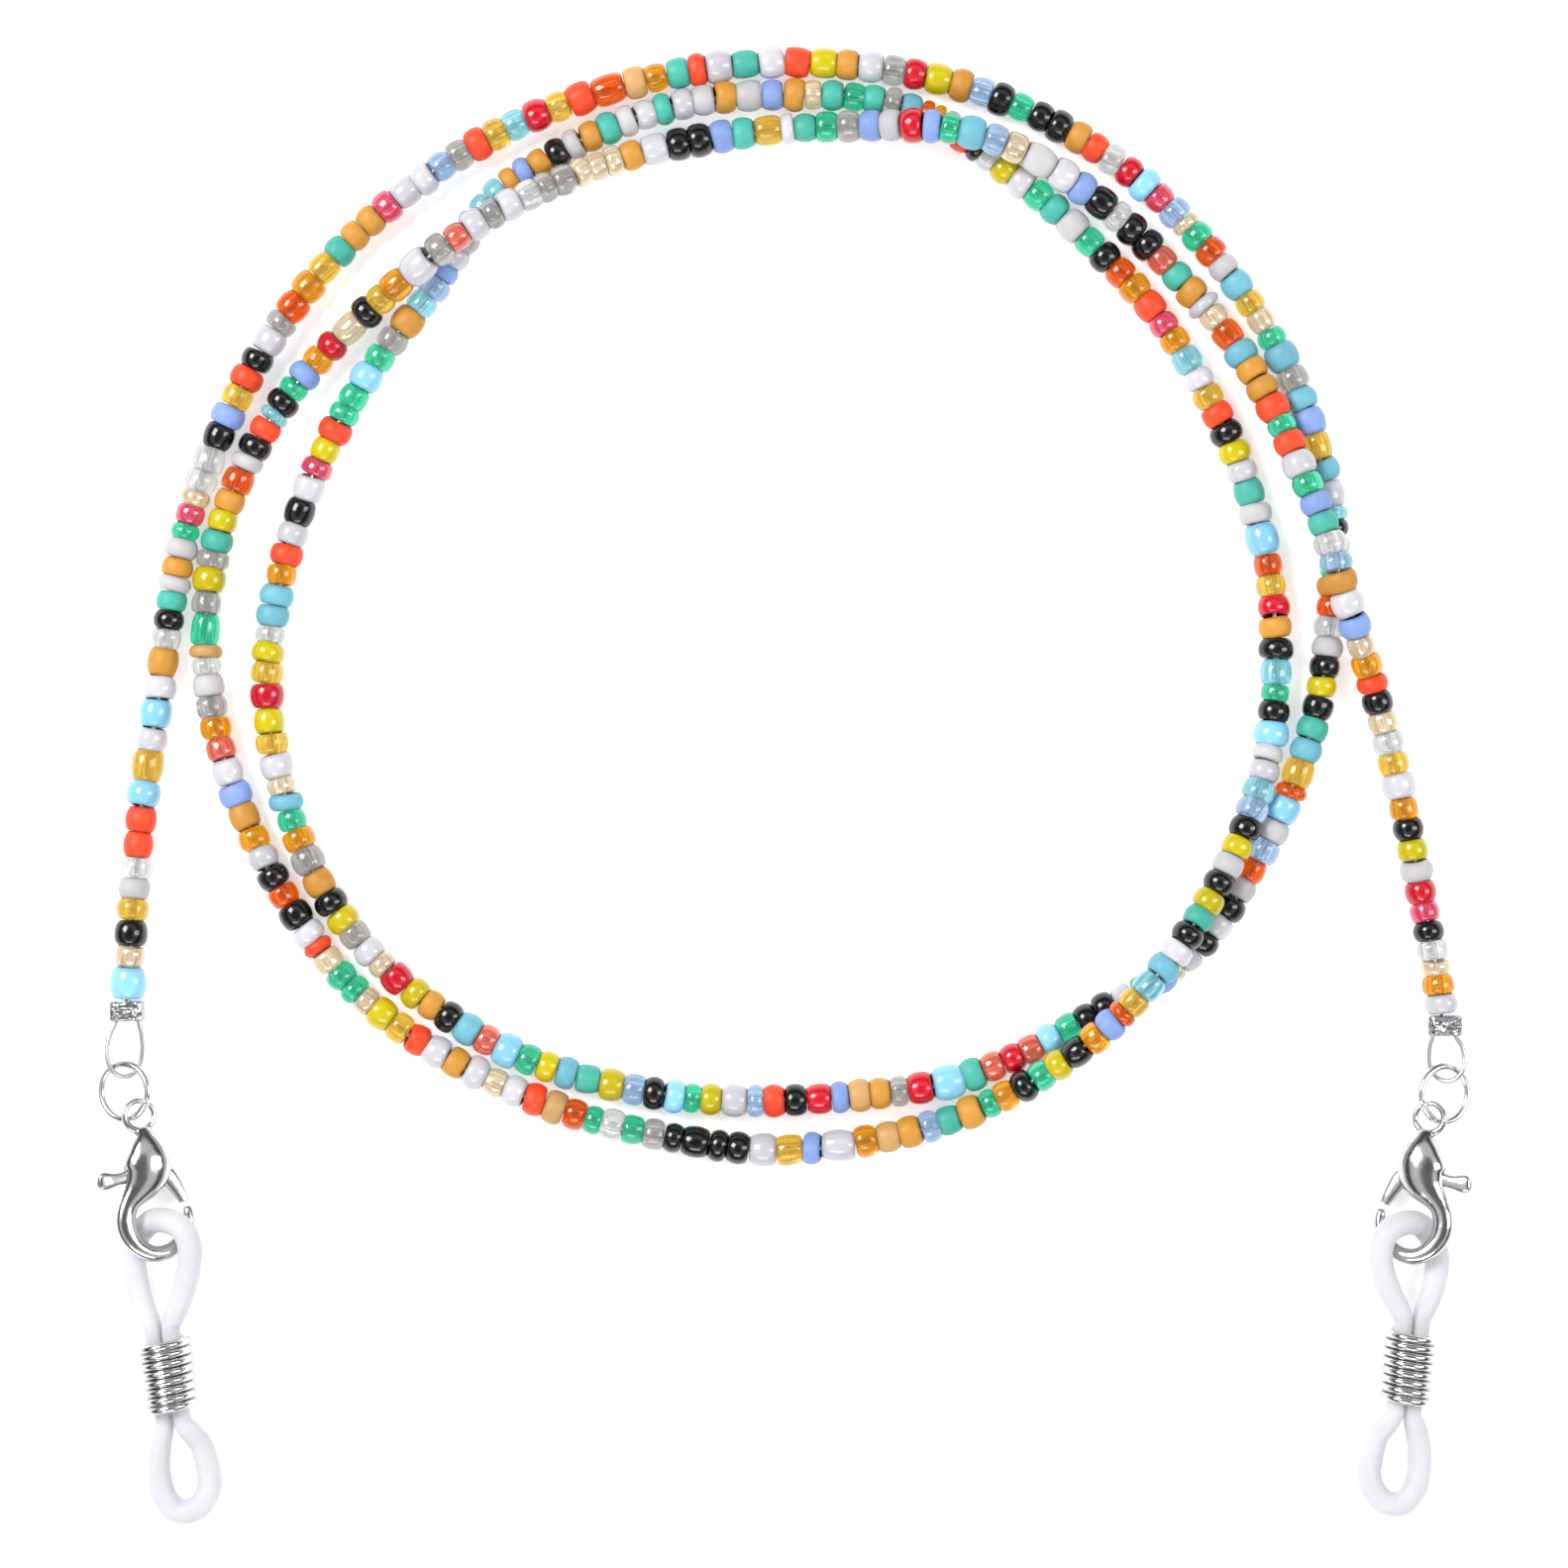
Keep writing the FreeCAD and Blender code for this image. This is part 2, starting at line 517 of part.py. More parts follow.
def add_silicone(end):
    """One closed silicone loop, pinched by the sleeve into two."""
    name = end["side"] + "_silicone_loop"
    points = [(end["m"] * x, y + (end["top"] if y > 7.0 else 0.0), z)
              for x, y, z in UPPER + LOWER]
    edges, radii = tangent_path(points, closed=True, share=0.36)
    print("silicone radii %.2f to %.2f" % (min(radii), max(radii)))
    # Edges run line, arc, line, arc...; a cone stands on the run after each bend at the legs.
    cones = [(0, False), (12, True), (16, False), (28, True)]
    parts = [add_cone(name + "_cone_%d" % at, edges[at], wide) for at, wide in cones]
    stretches = [("upper", 1, 12, "Sizes.loop_radius"), ("leg_low", 13, 16, "Sizes.leg_radius"),
                 ("lower", 17, 28, "Sizes.loop_radius"), ("leg_high", 29, 32, "Sizes.leg_radius")]
    for word, first, last, radius in stretches:
        parts.append(add_sweep("%s_%s" % (name, word), edges[first:last], radius, Placement()))
    loop = doc.addObject("Part::MultiFuse", name)
    loop.Label = name
    loop.Shapes = parts
    loop.Refine = True
    loop.Placement = silicone_placement(end)


def silicone_placement(end):
    turn = Rotation(Vector(0, 0, 1), end["silicone_turn"])
    return Placement(framed(end["silicone"] + (0.0,)), turn)


def add_sleeve(end):
    """Close-wound coil of wire round the two silicone legs."""
    name = end["side"] + "_coil_sleeve"
    spine = doc.addObject("Part::Helix", name + "_helix")
    spine.setExpression("Pitch", "Sizes.sleeve_pitch")
    spine.setExpression("Height", "Sizes.sleeve_pitch * Sizes.sleeve_turns")
    spine.setExpression("Radius", "Sizes.sleeve_radius")
    spine.SegmentLength = 1.0
    if end["m"] < 0:
        spine.LocalCoord = "Left-handed"
    section = doc.addObject("Part::Circle", name + "_section")
    section.setExpression("Radius", "Sizes.sleeve_wire / 2")
    section.Placement = Placement(Vector(S["sleeve_radius"], 0, 0), Rotation(Vector(1, 0, 0), 90))
    sweep = doc.addObject("Part::Sweep", name)
    sweep.Label = name
    sweep.Sections = [section]
    sweep.Spine = (spine, ["Edge%d" % (i + 1) for i in range(int(S["sleeve_turns"]))])
    sweep.Solid = True
    sweep.Frenet = True
    half = S["sleeve_pitch"] * S["sleeve_turns"] / 2.0
    along = Placement(Vector(0, half, SLEEVE_Z), Rotation(Vector(1, 0, 0), 90))
    sweep.Placement = silicone_placement(end).multiply(along)


wire, expected = add_strand()
for end in ENDS:
    add_crimp(end)
    add_wire_loop(end)
    add_ring(end)
    add_clasp_body(end)
    add_lever(end)
    add_pin(end)
    add_spring(end)
    add_silicone(end)
    add_sleeve(end)

doc.recompute()

PIECES = ["crimp_tube", "wire_loop", "jump_ring", "clasp_body", "clasp_lever", "lever_pin",
          "lever_spring", "silicone_loop", "coil_sleeve"]
NODES = ["beading_wire"] + [node for letter, node, outer in KINDS]
NODES += [end["side"] + "_" + piece for end in ENDS for piece in PIECES]

for item in doc.Objects:
    bad = [word for word in item.State if word in ("Invalid", "Error")]
    if bad:
        raise RuntimeError("%s is %s" % (item.Label, bad))

print("wire volume %.2f, section times length %.2f" % (wire.Shape.Volume, expected))
os.makedirs("parts", exist_ok=True)
for node in NODES:
    item = doc.getObjectsByLabel(node)[0]
    shape = item.Shape
    if shape.isNull() or not shape.isValid() or shape.Volume <= 0:
        raise RuntimeError("%s has no valid solid" % node)
    box = shape.BoundBox
    print("%-24s %2d solids %8.2f mm3  x %7.2f..%7.2f  y %7.2f..%7.2f  z %6.2f..%6.2f" % (
        node, len(shape.Solids), shape.Volume, box.XMin, box.XMax, box.YMin, box.YMax,
        box.ZMin, box.ZMax))
    shape.exportStep("parts/%s.step" % node)
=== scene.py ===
import math
import random
import bpy
import numpy as np
from mathutils import Matrix, Vector


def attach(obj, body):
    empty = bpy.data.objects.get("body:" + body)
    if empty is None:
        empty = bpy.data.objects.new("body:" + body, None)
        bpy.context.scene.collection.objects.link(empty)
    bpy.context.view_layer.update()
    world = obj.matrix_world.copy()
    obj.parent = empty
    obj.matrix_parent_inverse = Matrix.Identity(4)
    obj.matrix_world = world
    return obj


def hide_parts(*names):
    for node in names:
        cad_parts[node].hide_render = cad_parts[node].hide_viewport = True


# Looks of the beaded eyeglass strap, laid flat on a pale table and seen from straight above.
# Metres in the scene; the lists below are in millimetres and go through MM.

MM = 0.001
SHIFT = (0.2, 36.4)         # from the strand's own coordinates to the part frame
REST = 1.32                 # height of a resting strand's centre
THREAD = 0.45               # the beading wire's diameter
VIEW_WIDTH = 0.1190         # metres across the picture, at the height of the beads

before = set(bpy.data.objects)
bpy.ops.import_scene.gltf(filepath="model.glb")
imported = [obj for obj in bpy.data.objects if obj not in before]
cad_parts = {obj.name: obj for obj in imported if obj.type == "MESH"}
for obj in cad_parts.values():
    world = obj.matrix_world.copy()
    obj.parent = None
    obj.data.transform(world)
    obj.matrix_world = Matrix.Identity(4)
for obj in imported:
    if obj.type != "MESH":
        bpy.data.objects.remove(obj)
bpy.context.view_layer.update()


def at(x, y, z=REST):
    """A point of the strand's own coordinates, in the part frame, in metres."""
    return Vector(((x + SHIFT[0]) * MM, (y + SHIFT[1]) * MM, z * MM))


# ---------------------------------------------------------------- camera
camera_data = bpy.data.cameras.new("camera")
camera_data.lens = 100.0
camera_data.sensor_width = 36.0
camera_data.clip_start = 0.01
camera_data.clip_end = 10.0
camera_data.dof.use_dof = False
camera = bpy.data.objects.new("camera", camera_data)
bpy.context.scene.collection.objects.link(camera)
camera.location = (-0.00003, 0.03644,
                   0.0013 + VIEW_WIDTH * camera_data.lens / camera_data.sensor_width)
bpy.context.scene.camera = camera

# ---------------------------------------------------------------- the strand's route
ROUTE = [
    (-50.1, -17.3), (-49.9, -12.4), (-49.4, -6.2), (-48.7, 0.5), (-47.6, 7.3), (-46.8, 13.5),
    (-45.6, 20.0), (-43.2, 26.5), (-39.6, 33.6), (-34.0, 40.75), (-27.1, 46.6), (-19.1, 51.0),
    (-10.1, 53.8), (-0.5, 55.1), (10.2, 54.1), (18.8, 51.2), (26.6, 46.3), (33.0, 39.7),
    (37.9, 32.4), (40.9, 23.8), (41.7, 17.4), (41.1, 10.7), (40.2, 5.0), (38.3, -0.6),
    (35.7, -5.8), (32.3, -11.35), (28.2, -15.0), (23.0, -17.6), (17.6, -20.7), (11.7, -22.9),
    (5.0, -23.7), (-1.5, -24.1), (-8.5, -23.8), (-14.85, -22.5), (-20.7, -20.6),
    (-26.05, -17.5), (-31.0, -13.7), (-35.15, -8.5), (-37.7, -2.8), (-39.3, 3.5),
    (-39.6, 9.6), (-38.6, 15.3), (-37.0, 21.0), (-34.6, 26.5), (-31.4, 31.9), (-27.5, 36.7),
    (-25.0, 40.5), (-23.0, 44.0), (-18.9, 47.2), (-12.7, 50.3), (-6.5, 52.1), (0.0, 52.4),
    (6.3, 52.2), (11.7, 50.6), (14.7, 48.1), (19.4, 44.6), (24.0, 40.2), (27.6, 36.4),
    (30.9, 31.5), (33.9, 25.7), (35.8, 20.0), (37.0, 14.1), (37.2, 8.0), (36.6, 2.4, 1.5),
    (34.9, -2.9, 2.8), (32.2, -8.3, 3.3), (28.7, -13.5, 4.1), (25.6, -17.0, 4.1),
    (22.0, -20.2, 3.2), (17.3, -23.3, 2.4), (11.5, -25.9, 1.4), (4.5, -27.4), (-2.0, -27.9),
    (-9.0, -26.8), (-15.7, -25.3), (-21.9, -22.8), (-27.8, -19.7), (-33.3, -15.4),
    (-37.6, -9.6), (-40.8, -3.6), (-43.1, 2.7), (-44.2, 9.0), (-44.1, 14.8), (-42.8, 20.6),
    (-40.3, 26.0), (-37.0, 30.8), (-32.4, 35.4, 1.5), (-27.4, 39.4, 4.0),
    (-23.05, 42.55, 4.0), (-19.1, 44.7, 3.2), (-13.1, 47.4, 1.9), (-7.0, 48.9),
    (-0.5, 49.8), (5.2, 49.9, 1.7), (10.9, 49.7, 4.0), (15.7, 48.7, 4.0), (20.2, 46.6, 2.8),
    (25.4, 43.0, 1.4), (29.7, 38.5), (33.5, 34.2, 1.5), (36.6, 28.9, 2.7), (38.9, 23.5, 3.4),
    (40.6, 19.1, 4.1), (41.9, 14.6, 4.1), (44.1, 8.6, 1.8), (45.8, 2.5), (47.2, -3.6),
    (48.3, -9.3), (49.25, -14.0), (49.9, -18.4),
]

# Bead order, left crimp to right crimp: where a stretch starts, and its beads. A letter is a
# kind; after it, * or + is longer than usual, - or . shorter.
ORDER = [
    ((-50.0, -16.2), "S* H B+ G F C O+ O+ S+ G*"),
    ((-48.5, 2.6), "W+ S* W+ M* C B T F- M F E- N H-"),
    ((-44.8, 22.3), "C C+ B+ V G O B W+ K- P+ A+ G+"),
    ((-34.5, 40.0), "T M M N W+ W L K O G U R+ G O+"),
    ((-14.7, 52.3), "P* D A T O- W+ T+ W+ O+ Y+ M"),
    ((5.45, 54.5), "W+ K R Y+ M L B E B B M"),
    ((22.9, 48.9), "O C R S N L H. E P F Q+ G"),
    ((35.5, 35.9), "H E- Q+ K Q V+ G+ Q W+ U."),
    ((41.7, 20.1), "B- W E M P C F B Y"),
    ((40.6, 6.6), "B T Q G+ P. S+ F L P F B W"),
    ((32.2, -11.5), "B F H. V T W B B E S I R"),
    ((16.5, -21.3), "I T S* R+ K- M D V- R+ B O L- W+ Y"),
    ((-6.6, -23.8), "E- S B L Y+ T+ Q Y E S+ I Q+ B"),
    ((-26.4, -17.4), "M Y R+ H- W K Y B M+ K+ A E Q-"),
    ((-38.2, -0.7), "H- W+ G Y+ R+ G Y C- Q Q A O"),
    ((-37.6, 18.1), "W B+ W+ N- Y O E- E S+ E K M+"),
    ((-28.2, 35.9), "U L V- W K V- U U M- V- M B F- M T"),
    ((-12.9, 50.2), "F- W T- W F M F+ V M H- T"),
    ((4.25, 52.2), "E T K- Q P. A. W- O"),
    ((14.0, 48.6), "B. C- Y W E T F+ E B P A"),
    ((27.0, 37.1), "O+ N A U+ W G O B Y W T+"),
    ((35.5, 21.4), "F S* P G R M B U+ E-"),
    ((37.0, 6.3), "B S+ F- W U L B Y F B Y T B"),
    ((29.8, -12.3), "W Q U+ G P. V A B+ Y E B A E- M+"),
    ((13.2, -25.4), "T L- M D A W* V- G+ W+ B B- B+ B-"),
    ((-9.3, -26.6), "K E C E- P D O W H W M"),
    ((-25.8, -20.8), "W+ O G Y+ H- E- E H O. W B+ P"),
    ((-38.7, -7.8), "B W A M+ V W+ I A K F"),
    ((-43.9, 8.4), "C- D. E* K Y+ K- T Y M"),
    ((-42.1, 22.3), "P+ F- B O U. B E- V A R H* B G"),
    ((-29.8, 37.4), "A+ W* K I W K- W C K- K H- H- H- M W+"),
    ((-9.1, 48.3), "B B V T G+ W. T E K V F R V- E-"),
    ((13.0, 49.2), "Q+ L H F* W+ V B+ C- B B I T M"),
    ((31.3, 36.8), "W. H P+ Q M M O+ E- O W+ E V T"),
    ((40.7, 18.8), "C L- M W+ V H A O- B"),
    ((45.1, 5.5), "H C G W+ A B Y F"),
    ((47.9, -7.3), "R+ N B C H- A W"),
]
STRAND_END = (49.6, -17.4)
LENGTHS = {"": 1.0, "+": 1.2, "*": 1.5, "-": 0.8, ".": 0.6}

# letter, node, outer diameter, finish, colour
KINDS = [
    ("W", "beads_white", 2.4, "gloss", (0.60, 0.585, 0.635)),
    ("F", "beads_milky", 2.35, "frost", (0.71, 0.695, 0.72)),
    ("C", "beads_clear", 2.3, "clear", (0.80, 0.82, 0.80)),
    ("B", "beads_black", 2.35, "gloss", (0.004, 0.004, 0.005)),
    ("O", "beads_vermilion", 2.35, "matte", (0.86, 0.05, 0.0)),
    ("P", "beads_poppy", 2.25, "clear", (1.0, 0.05, 0.0)),
    ("A", "beads_tangerine", 2.25, "clear", (1.0, 0.27, 0.0)),
    ("G", "beads_honey", 2.25, "clear", (0.98, 0.50, 0.015)),
    ("M", "beads_mustard", 2.3, "matte", (0.60, 0.27, 0.02)),
    ("D", "beads_pale_mustard", 2.3, "matte", (0.58, 0.33, 0.11)),
    ("Y", "beads_yellow", 2.35, "gloss", (0.58, 0.47, 0.0)),
    ("H", "beads_champagne", 2.15, "lustre", (0.86, 0.62, 0.33)),
    ("E", "beads_emerald", 2.2, "clear", (0.01, 0.66, 0.28)),
    ("T", "beads_teal", 2.25, "matte", (0.045, 0.42, 0.33)),
    ("S", "beads_sky_blue", 2.5, "gloss", (0.26, 0.62, 0.88)),
    ("Q", "beads_aqua_matte", 2.4, "matte", (0.14, 0.43, 0.55)),
    ("U", "beads_aqua_clear", 2.35, "clear", (0.22, 0.74, 0.90)),
    ("V", "beads_periwinkle", 2.35, "matte", (0.22, 0.34, 0.70)),
    ("L", "beads_light_blue", 2.35, "clear", (0.33, 0.57, 0.95)),
    ("K", "beads_smoke", 2.3, "clear", (0.42, 0.40, 0.37)),
    ("R", "beads_crimson", 2.35, "gloss", (0.60, 0.004, 0.02)),
    ("N", "beads_magenta", 2.25, "lustre", (0.86, 0.02, 0.06)),
    ("I", "beads_red_lustre", 2.25, "lustre", (0.82, 0.06, 0.03)),
]


# ---------------------------------------------------------------- materials
def new_material(name):
    material = bpy.data.materials.new(name)
    material.use_nodes = True
    tree = material.node_tree
    shader = tree.nodes["Principled BSDF"]
    return material, tree, shader


def noise(tree, scale, detail=3.0, rough=0.5, vector=None):
    node = tree.nodes.new("ShaderNodeTexNoise")
    node.inputs["Scale"].default_value = scale
    node.inputs["Detail"].default_value = detail
    node.inputs["Roughness"].default_value = rough
    if vector is None:
        place = tree.nodes.new("ShaderNodeTexCoord")
        vector = place.outputs["Object"]
    tree.links.new(vector, node.inputs["Vector"])
    return node.outputs["Fac"]


def remap(tree, value, low, high):
    """value, 0.3 to 0.7, stretched to low to high."""
    node = tree.nodes.new("ShaderNodeMapRange")
    node.inputs["From Min"].default_value = 0.3
    node.inputs["From Max"].default_value = 0.7
    node.inputs["To Min"].default_value = low
    node.inputs["To Max"].default_value = high
    tree.links.new(value, node.inputs["Value"])
    return node.outputs["Result"]


def mix_colours(tree, factor, first, second):
    node = tree.nodes.new("ShaderNodeMix")
    node.data_type = "RGBA"
    tree.links.new(factor, node.inputs["Factor"])
    for socket, colour in ((node.inputs[6], first), (node.inputs[7], second)):
        if isinstance(colour, tuple):
            socket.default_value = colour + (1.0,)
        else:
            tree.links.new(colour, socket)
    return node.outputs[2]


def bump(tree, shader, height, strength, distance):
    node = tree.nodes.new("ShaderNodeBump")
    node.inputs["Strength"].default_value = strength
    node.inputs["Distance"].default_value = distance
    tree.links.new(height, node.inputs["Height"])
    tree.links.new(node.outputs["Normal"], shader.inputs["Normal"])


def scaled(colour, factor):
    return tuple(min(c * factor, 1.0) for c in colour)


def painted_end_shade(tree, uv):
    """Painted shade: 1 at a bead's two ends and in its bore, 0 over its middle, so the ends and
    bore are darkened where shade would fall.
    """
    split = tree.nodes.new("ShaderNodeSeparateXYZ")
    tree.links.new(uv.outputs["UV"], split.inputs["Vector"])
    middle = tree.nodes.new("ShaderNodeMath")
    middle.operation = "SUBTRACT"
    middle.inputs[1].default_value = 0.5
    tree.links.new(split.outputs["Y"], middle.inputs[0])
    off = tree.nodes.new("ShaderNodeMath")
    off.operation = "ABSOLUTE"
    tree.links.new(middle.outputs[0], off.inputs[0])
    spread = tree.nodes.new("ShaderNodeMapRange")
    spread.inputs["From Min"].default_value = 0.13
    spread.inputs["From Max"].default_value = 0.25
    tree.links.new(off.outputs[0], spread.inputs["Value"])
    return spread.outputs["Result"]


def bead_material(node, finish, colour):
    """Coloured glass: every bead has its own tone, and streaks or a bloom of its finish."""
    material, tree, shader = new_material(node)
    tone = tree.nodes.new("ShaderNodeAttribute")
    tone.attribute_name = "tone"
    cloud = noise(tree, 900.0)
    grain = noise(tree, 5200.0, 4.0, 0.6)
    uv = tree.nodes.new("ShaderNodeUVMap")
    uv.uv_map = "UVMap"
    if finish in ("clear", "lustre"):
        colour = tuple(c ** 0.62 for c in colour)
    body = mix_colours(tree, tone.outputs["Fac"], scaled(colour, 0.84), scaled(colour, 1.10))
    # Painted shade: a bead's ends and bore are darkened to 0.55 of its colour.
    body = mix_colours(tree, painted_end_shade(tree, uv), body, scaled(colour, 0.55))
    shader.inputs["IOR"].default_value = 1.5
    shader.inputs["Specular IOR Level"].default_value = 0.5
    if finish in ("clear", "lustre"):
        stretch = tree.nodes.new("ShaderNodeMapping")
        stretch.inputs["Scale"].default_value = (44.0, 1.2, 1.0)
        tree.links.new(uv.outputs["UV"], stretch.inputs["Vector"])
        streak = noise(tree, 1.0, 2.0, 0.5, stretch.outputs["Vector"])
        deep = mix_colours(tree, remap(tree, streak, 0.0, 1.0), scaled(colour, 0.48), body)
        tree.links.new(deep, shader.inputs["Base Color"])
        # Painted light: clear and lustre beads glow faintly in their own colour, standing in for
        # light coming through the glass.
        tree.links.new(deep, shader.inputs["Emission Color"])
        shader.inputs["Emission Strength"].default_value = 0.16
        clear = finish == "clear"
        shader.inputs["Transmission Weight"].default_value = 0.72 if clear else 0.35
        tree.links.new(remap(tree, grain, 0.05, 0.16), shader.inputs["Roughness"])
        shader.inputs["Coat Weight"].default_value = 0.25 if clear else 0.7
        shader.inputs["Coat Roughness"].default_value = 0.05
        shader.inputs["Metallic"].default_value = 0.0 if clear else 0.15
        bump(tree, shader, streak, 0.35, 0.00005)
    elif finish == "gloss":
        tree.links.new(mix_colours(tree, remap(tree, cloud, 0.0, 0.35), body, scaled(colour, 0.75)),
                       shader.inputs["Base Color"])
        tree.links.new(remap(tree, grain, 0.10, 0.22), shader.inputs["Roughness"])
        shader.inputs["Coat Weight"].default_value = 0.3
        shader.inputs["Coat Roughness"].default_value = 0.06
        bump(tree, shader, cloud, 0.25, 0.00006)
    else:
        pale = tuple(0.95 * c + 0.03 for c in colour)
        tree.links.new(mix_colours(tree, remap(tree, cloud, 0.0, 0.5), body, pale),
                       shader.inputs["Base Color"])
        tree.links.new(remap(tree, grain, 0.42, 0.60), shader.inputs["Roughness"])
        shader.inputs["Subsurface Weight"].default_value = 0.3 if finish == "matte" else 0.6
        shader.inputs["Subsurface Radius"].default_value = (0.0006, 0.0005, 0.0004)
        shader.inputs["Subsurface Scale"].default_value = 1.0
        if finish == "frost":
            shader.inputs["Transmission Weight"].default_value = 0.3
        shader.inputs["Sheen Weight"].default_value = 0.05
        bump(tree, shader, grain, 0.25, 0.00003)
    return material


def metal_material(name, colour, low, high, dents, grain_scale, bump_depth):
    """Plated metal: a base tone with faint stains, grain in its polish and shallow dents."""
    material, tree, shader = new_material(name)
    stain = noise(tree, 700.0, 4.0, 0.6)
    grain = noise(tree, grain_scale, 5.0, 0.7)
    tree.links.new(mix_colours(tree, remap(tree, stain, 0.0, 0.7), colour, scaled(colour, 0.78)),
                   shader.inputs["Base Color"])
    tree.links.new(remap(tree, grain, low, high), shader.inputs["Roughness"])
    shader.inputs["Metallic"].default_value = 1.0
    wave = noise(tree, dents, 2.0, 0.5)
    bump(tree, shader, wave, 0.5, bump_depth)
    return material


def silicone_material():
    material, tree, shader = new_material("frosted_silicone")
    cloud = noise(tree, 350.0, 3.0, 0.5)
    grain = noise(tree, 6000.0, 4.0, 0.6)
    tree.links.new(mix_colours(tree, remap(tree, cloud, 0.0, 0.6), (0.72, 0.71, 0.745),
                               (0.64, 0.635, 0.675)), shader.inputs["Base Color"])
    tree.links.new(remap(tree, grain, 0.42, 0.58), shader.inputs["Roughness"])
    shader.inputs["Subsurface Weight"].default_value = 0.6
    shader.inputs["Subsurface Radius"].default_value = (0.0016, 0.0016, 0.0017)
    shader.inputs["Subsurface Scale"].default_value = 1.0
    shader.inputs["Transmission Weight"].default_value = 0.15
    shader.inputs["IOR"].default_value = 1.41
    shader.inputs["Specular IOR Level"].default_value = 0.35
    bump(tree, shader, grain, 0.2, 0.00002)
    return material


PLATED = metal_material("plated_metal", (0.62, 0.61, 0.60), 0.07, 0.22, 500.0, 4200.0, 0.00006)
RING_METAL = metal_material("ring_wire", (0.76, 0.75, 0.74), 0.16, 0.32, 900.0, 5200.0, 0.00004)
CRIMP_METAL = metal_material("crushed_metal", (0.52, 0.52, 0.53), 0.12, 0.34, 1900.0, 4000.0,
                             0.00022)
COIL_METAL = metal_material("coil_wire", (0.68, 0.67, 0.67), 0.06, 0.20, 1500.0, 6000.0, 0.00003)
LOOP_METAL = metal_material("coated_wire", (0.60, 0.59, 0.59), 0.30, 0.45, 3000.0, 9000.0, 0.00003)
SPRING_METAL = metal_material("spring_wire", (0.45, 0.45, 0.46), 0.20, 0.35, 2500.0, 9000.0,
                              0.00002)
SILICONE = silicone_material()


# ---------------------------------------------------------------- meshes
def make_object(name, vertices, faces, material, body=None, uv=None, smooth=True):
    mesh = bpy.data.meshes.new(name)
    mesh.from_pydata([tuple(v) for v in vertices], [], [tuple(f) for f in faces])
    mesh.update()
    if smooth:
        mesh.shade_smooth()
    if uv is not None:
        layer = mesh.uv_layers.new(name="UVMap")
        loops = np.zeros(len(mesh.loops), dtype=np.int32)
        mesh.loops.foreach_get("vertex_index", loops)
        layer.data.foreach_set("uv", np.asarray(uv, np.float32)[loops].ravel())
    mesh.materials.append(material)
    piece = bpy.data.objects.new(name, mesh)
    bpy.context.scene.collection.objects.link(piece)
    if body:
        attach(piece, body)
    return piece


def smooth_line(points, per, closed=False):
    """Points of a Catmull-Rom curve through rows of numbers, per of them to a row."""
    rows = np.asarray(points, float)
    count = len(rows)
    out = []
    for i in range(count if closed else count - 1):
        if closed:
            p = [rows[(i + k) % count] for k in (-1, 0, 1, 2)]
        else:
            p = [rows[min(max(i + k, 0), count - 1)] for k in (-1, 0, 1, 2)]
        for step in range(per):
            t = step / per
            out.append(0.5 * (2 * p[1] + (p[2] - p[0]) * t
                              + (2 * p[0] - 5 * p[1] + 4 * p[2] - p[3]) * t * t
                              + (3 * p[1] - p[0] - 3 * p[2] + p[3]) * t ** 3))
    if not closed:
        out.append(rows[-1])
    return np.array(out)


def unit(v):
    return v / max(np.linalg.norm(v), 1e-12)


def loft(rows, around, power):
    """A closed solid through rows of x, y, z, half width (level) and half height (upright)."""
    rows = np.asarray(rows, float)
    count = len(rows)
    up = np.array((0.0, 0.0, 1.0))
    vertices = []
    for i, row in enumerate(rows):
        along = unit(rows[min(i + 1, count - 1), :3] - rows[max(i - 1, 0), :3])
        side = unit(np.cross(along, up))
        over = np.cross(side, along)
        for k in range(around):
            a = 2 * math.pi * k / around
            c, s = math.cos(a), math.sin(a)
            u = math.copysign(abs(c) ** (2.0 / power), c) * row[3]
            v = math.copysign(abs(s) ** (2.0 / power), s) * row[4]
            vertices.append(row[:3] + side * u + over * v)
    faces = []
    for i in range(count - 1):
        j = i + 1
        for k in range(around):
            n = (k + 1) % around
            faces.append((i * around + k, i * around + n, j * around + n, j * around + k))
    faces.append(tuple(range(around)))
    faces.append(tuple((count - 1) * around + k for k in reversed(range(around))))
    return np.array(vertices), faces


def rod(points, radius, around, closed=False):
    """A round rod along points; radius is a number or one for each point."""
    points = np.asarray(points, float)
    count = len(points)
    radii = np.full(count, radius) if np.isscalar(radius) else np.asarray(radius)
    tangents = [unit(points[(i + 1) % count] - points[i - 1]) if closed else
                unit(points[min(i + 1, count - 1)] - points[max(i - 1, 0)])
                for i in range(count)]
    side = unit(np.cross(tangents[0], (0.3, 0.2, 1.0)))
    vertices = []
    for i in range(count):
        side = unit(side - tangents[i] * np.dot(side, tangents[i]))
        over = np.cross(tangents[i], side)
        for k in range(around):
            a = 2 * math.pi * k / around
            vertices.append(points[i] + radii[i] * (side * math.cos(a) + over * math.sin(a)))
    faces = []
    turn = 0
    if closed:
        first = unit(np.cross(tangents[0], (0.3, 0.2, 1.0)))
        last = unit(side - tangents[0] * np.dot(side, tangents[0]))
        angle = math.atan2(np.dot(np.cross(first, last), tangents[0]), np.dot(first, last))
        turn = round(angle / (2 * math.pi) * around)
    for i in range(count if closed else count - 1):
        j = (i + 1) % count
        shift = turn if closed and j == 0 else 0
        for k in range(around):
            n = (k + 1) % around
            faces.append((i * around + k, i * around + n,
                          j * around + (n + shift) % around, j * around + (k + shift) % around))
    if not closed:
        faces.append(tuple(reversed(range(around))))
        faces.append(tuple((count - 1) * around + k for k in range(around)))
    return np.array(vertices), faces


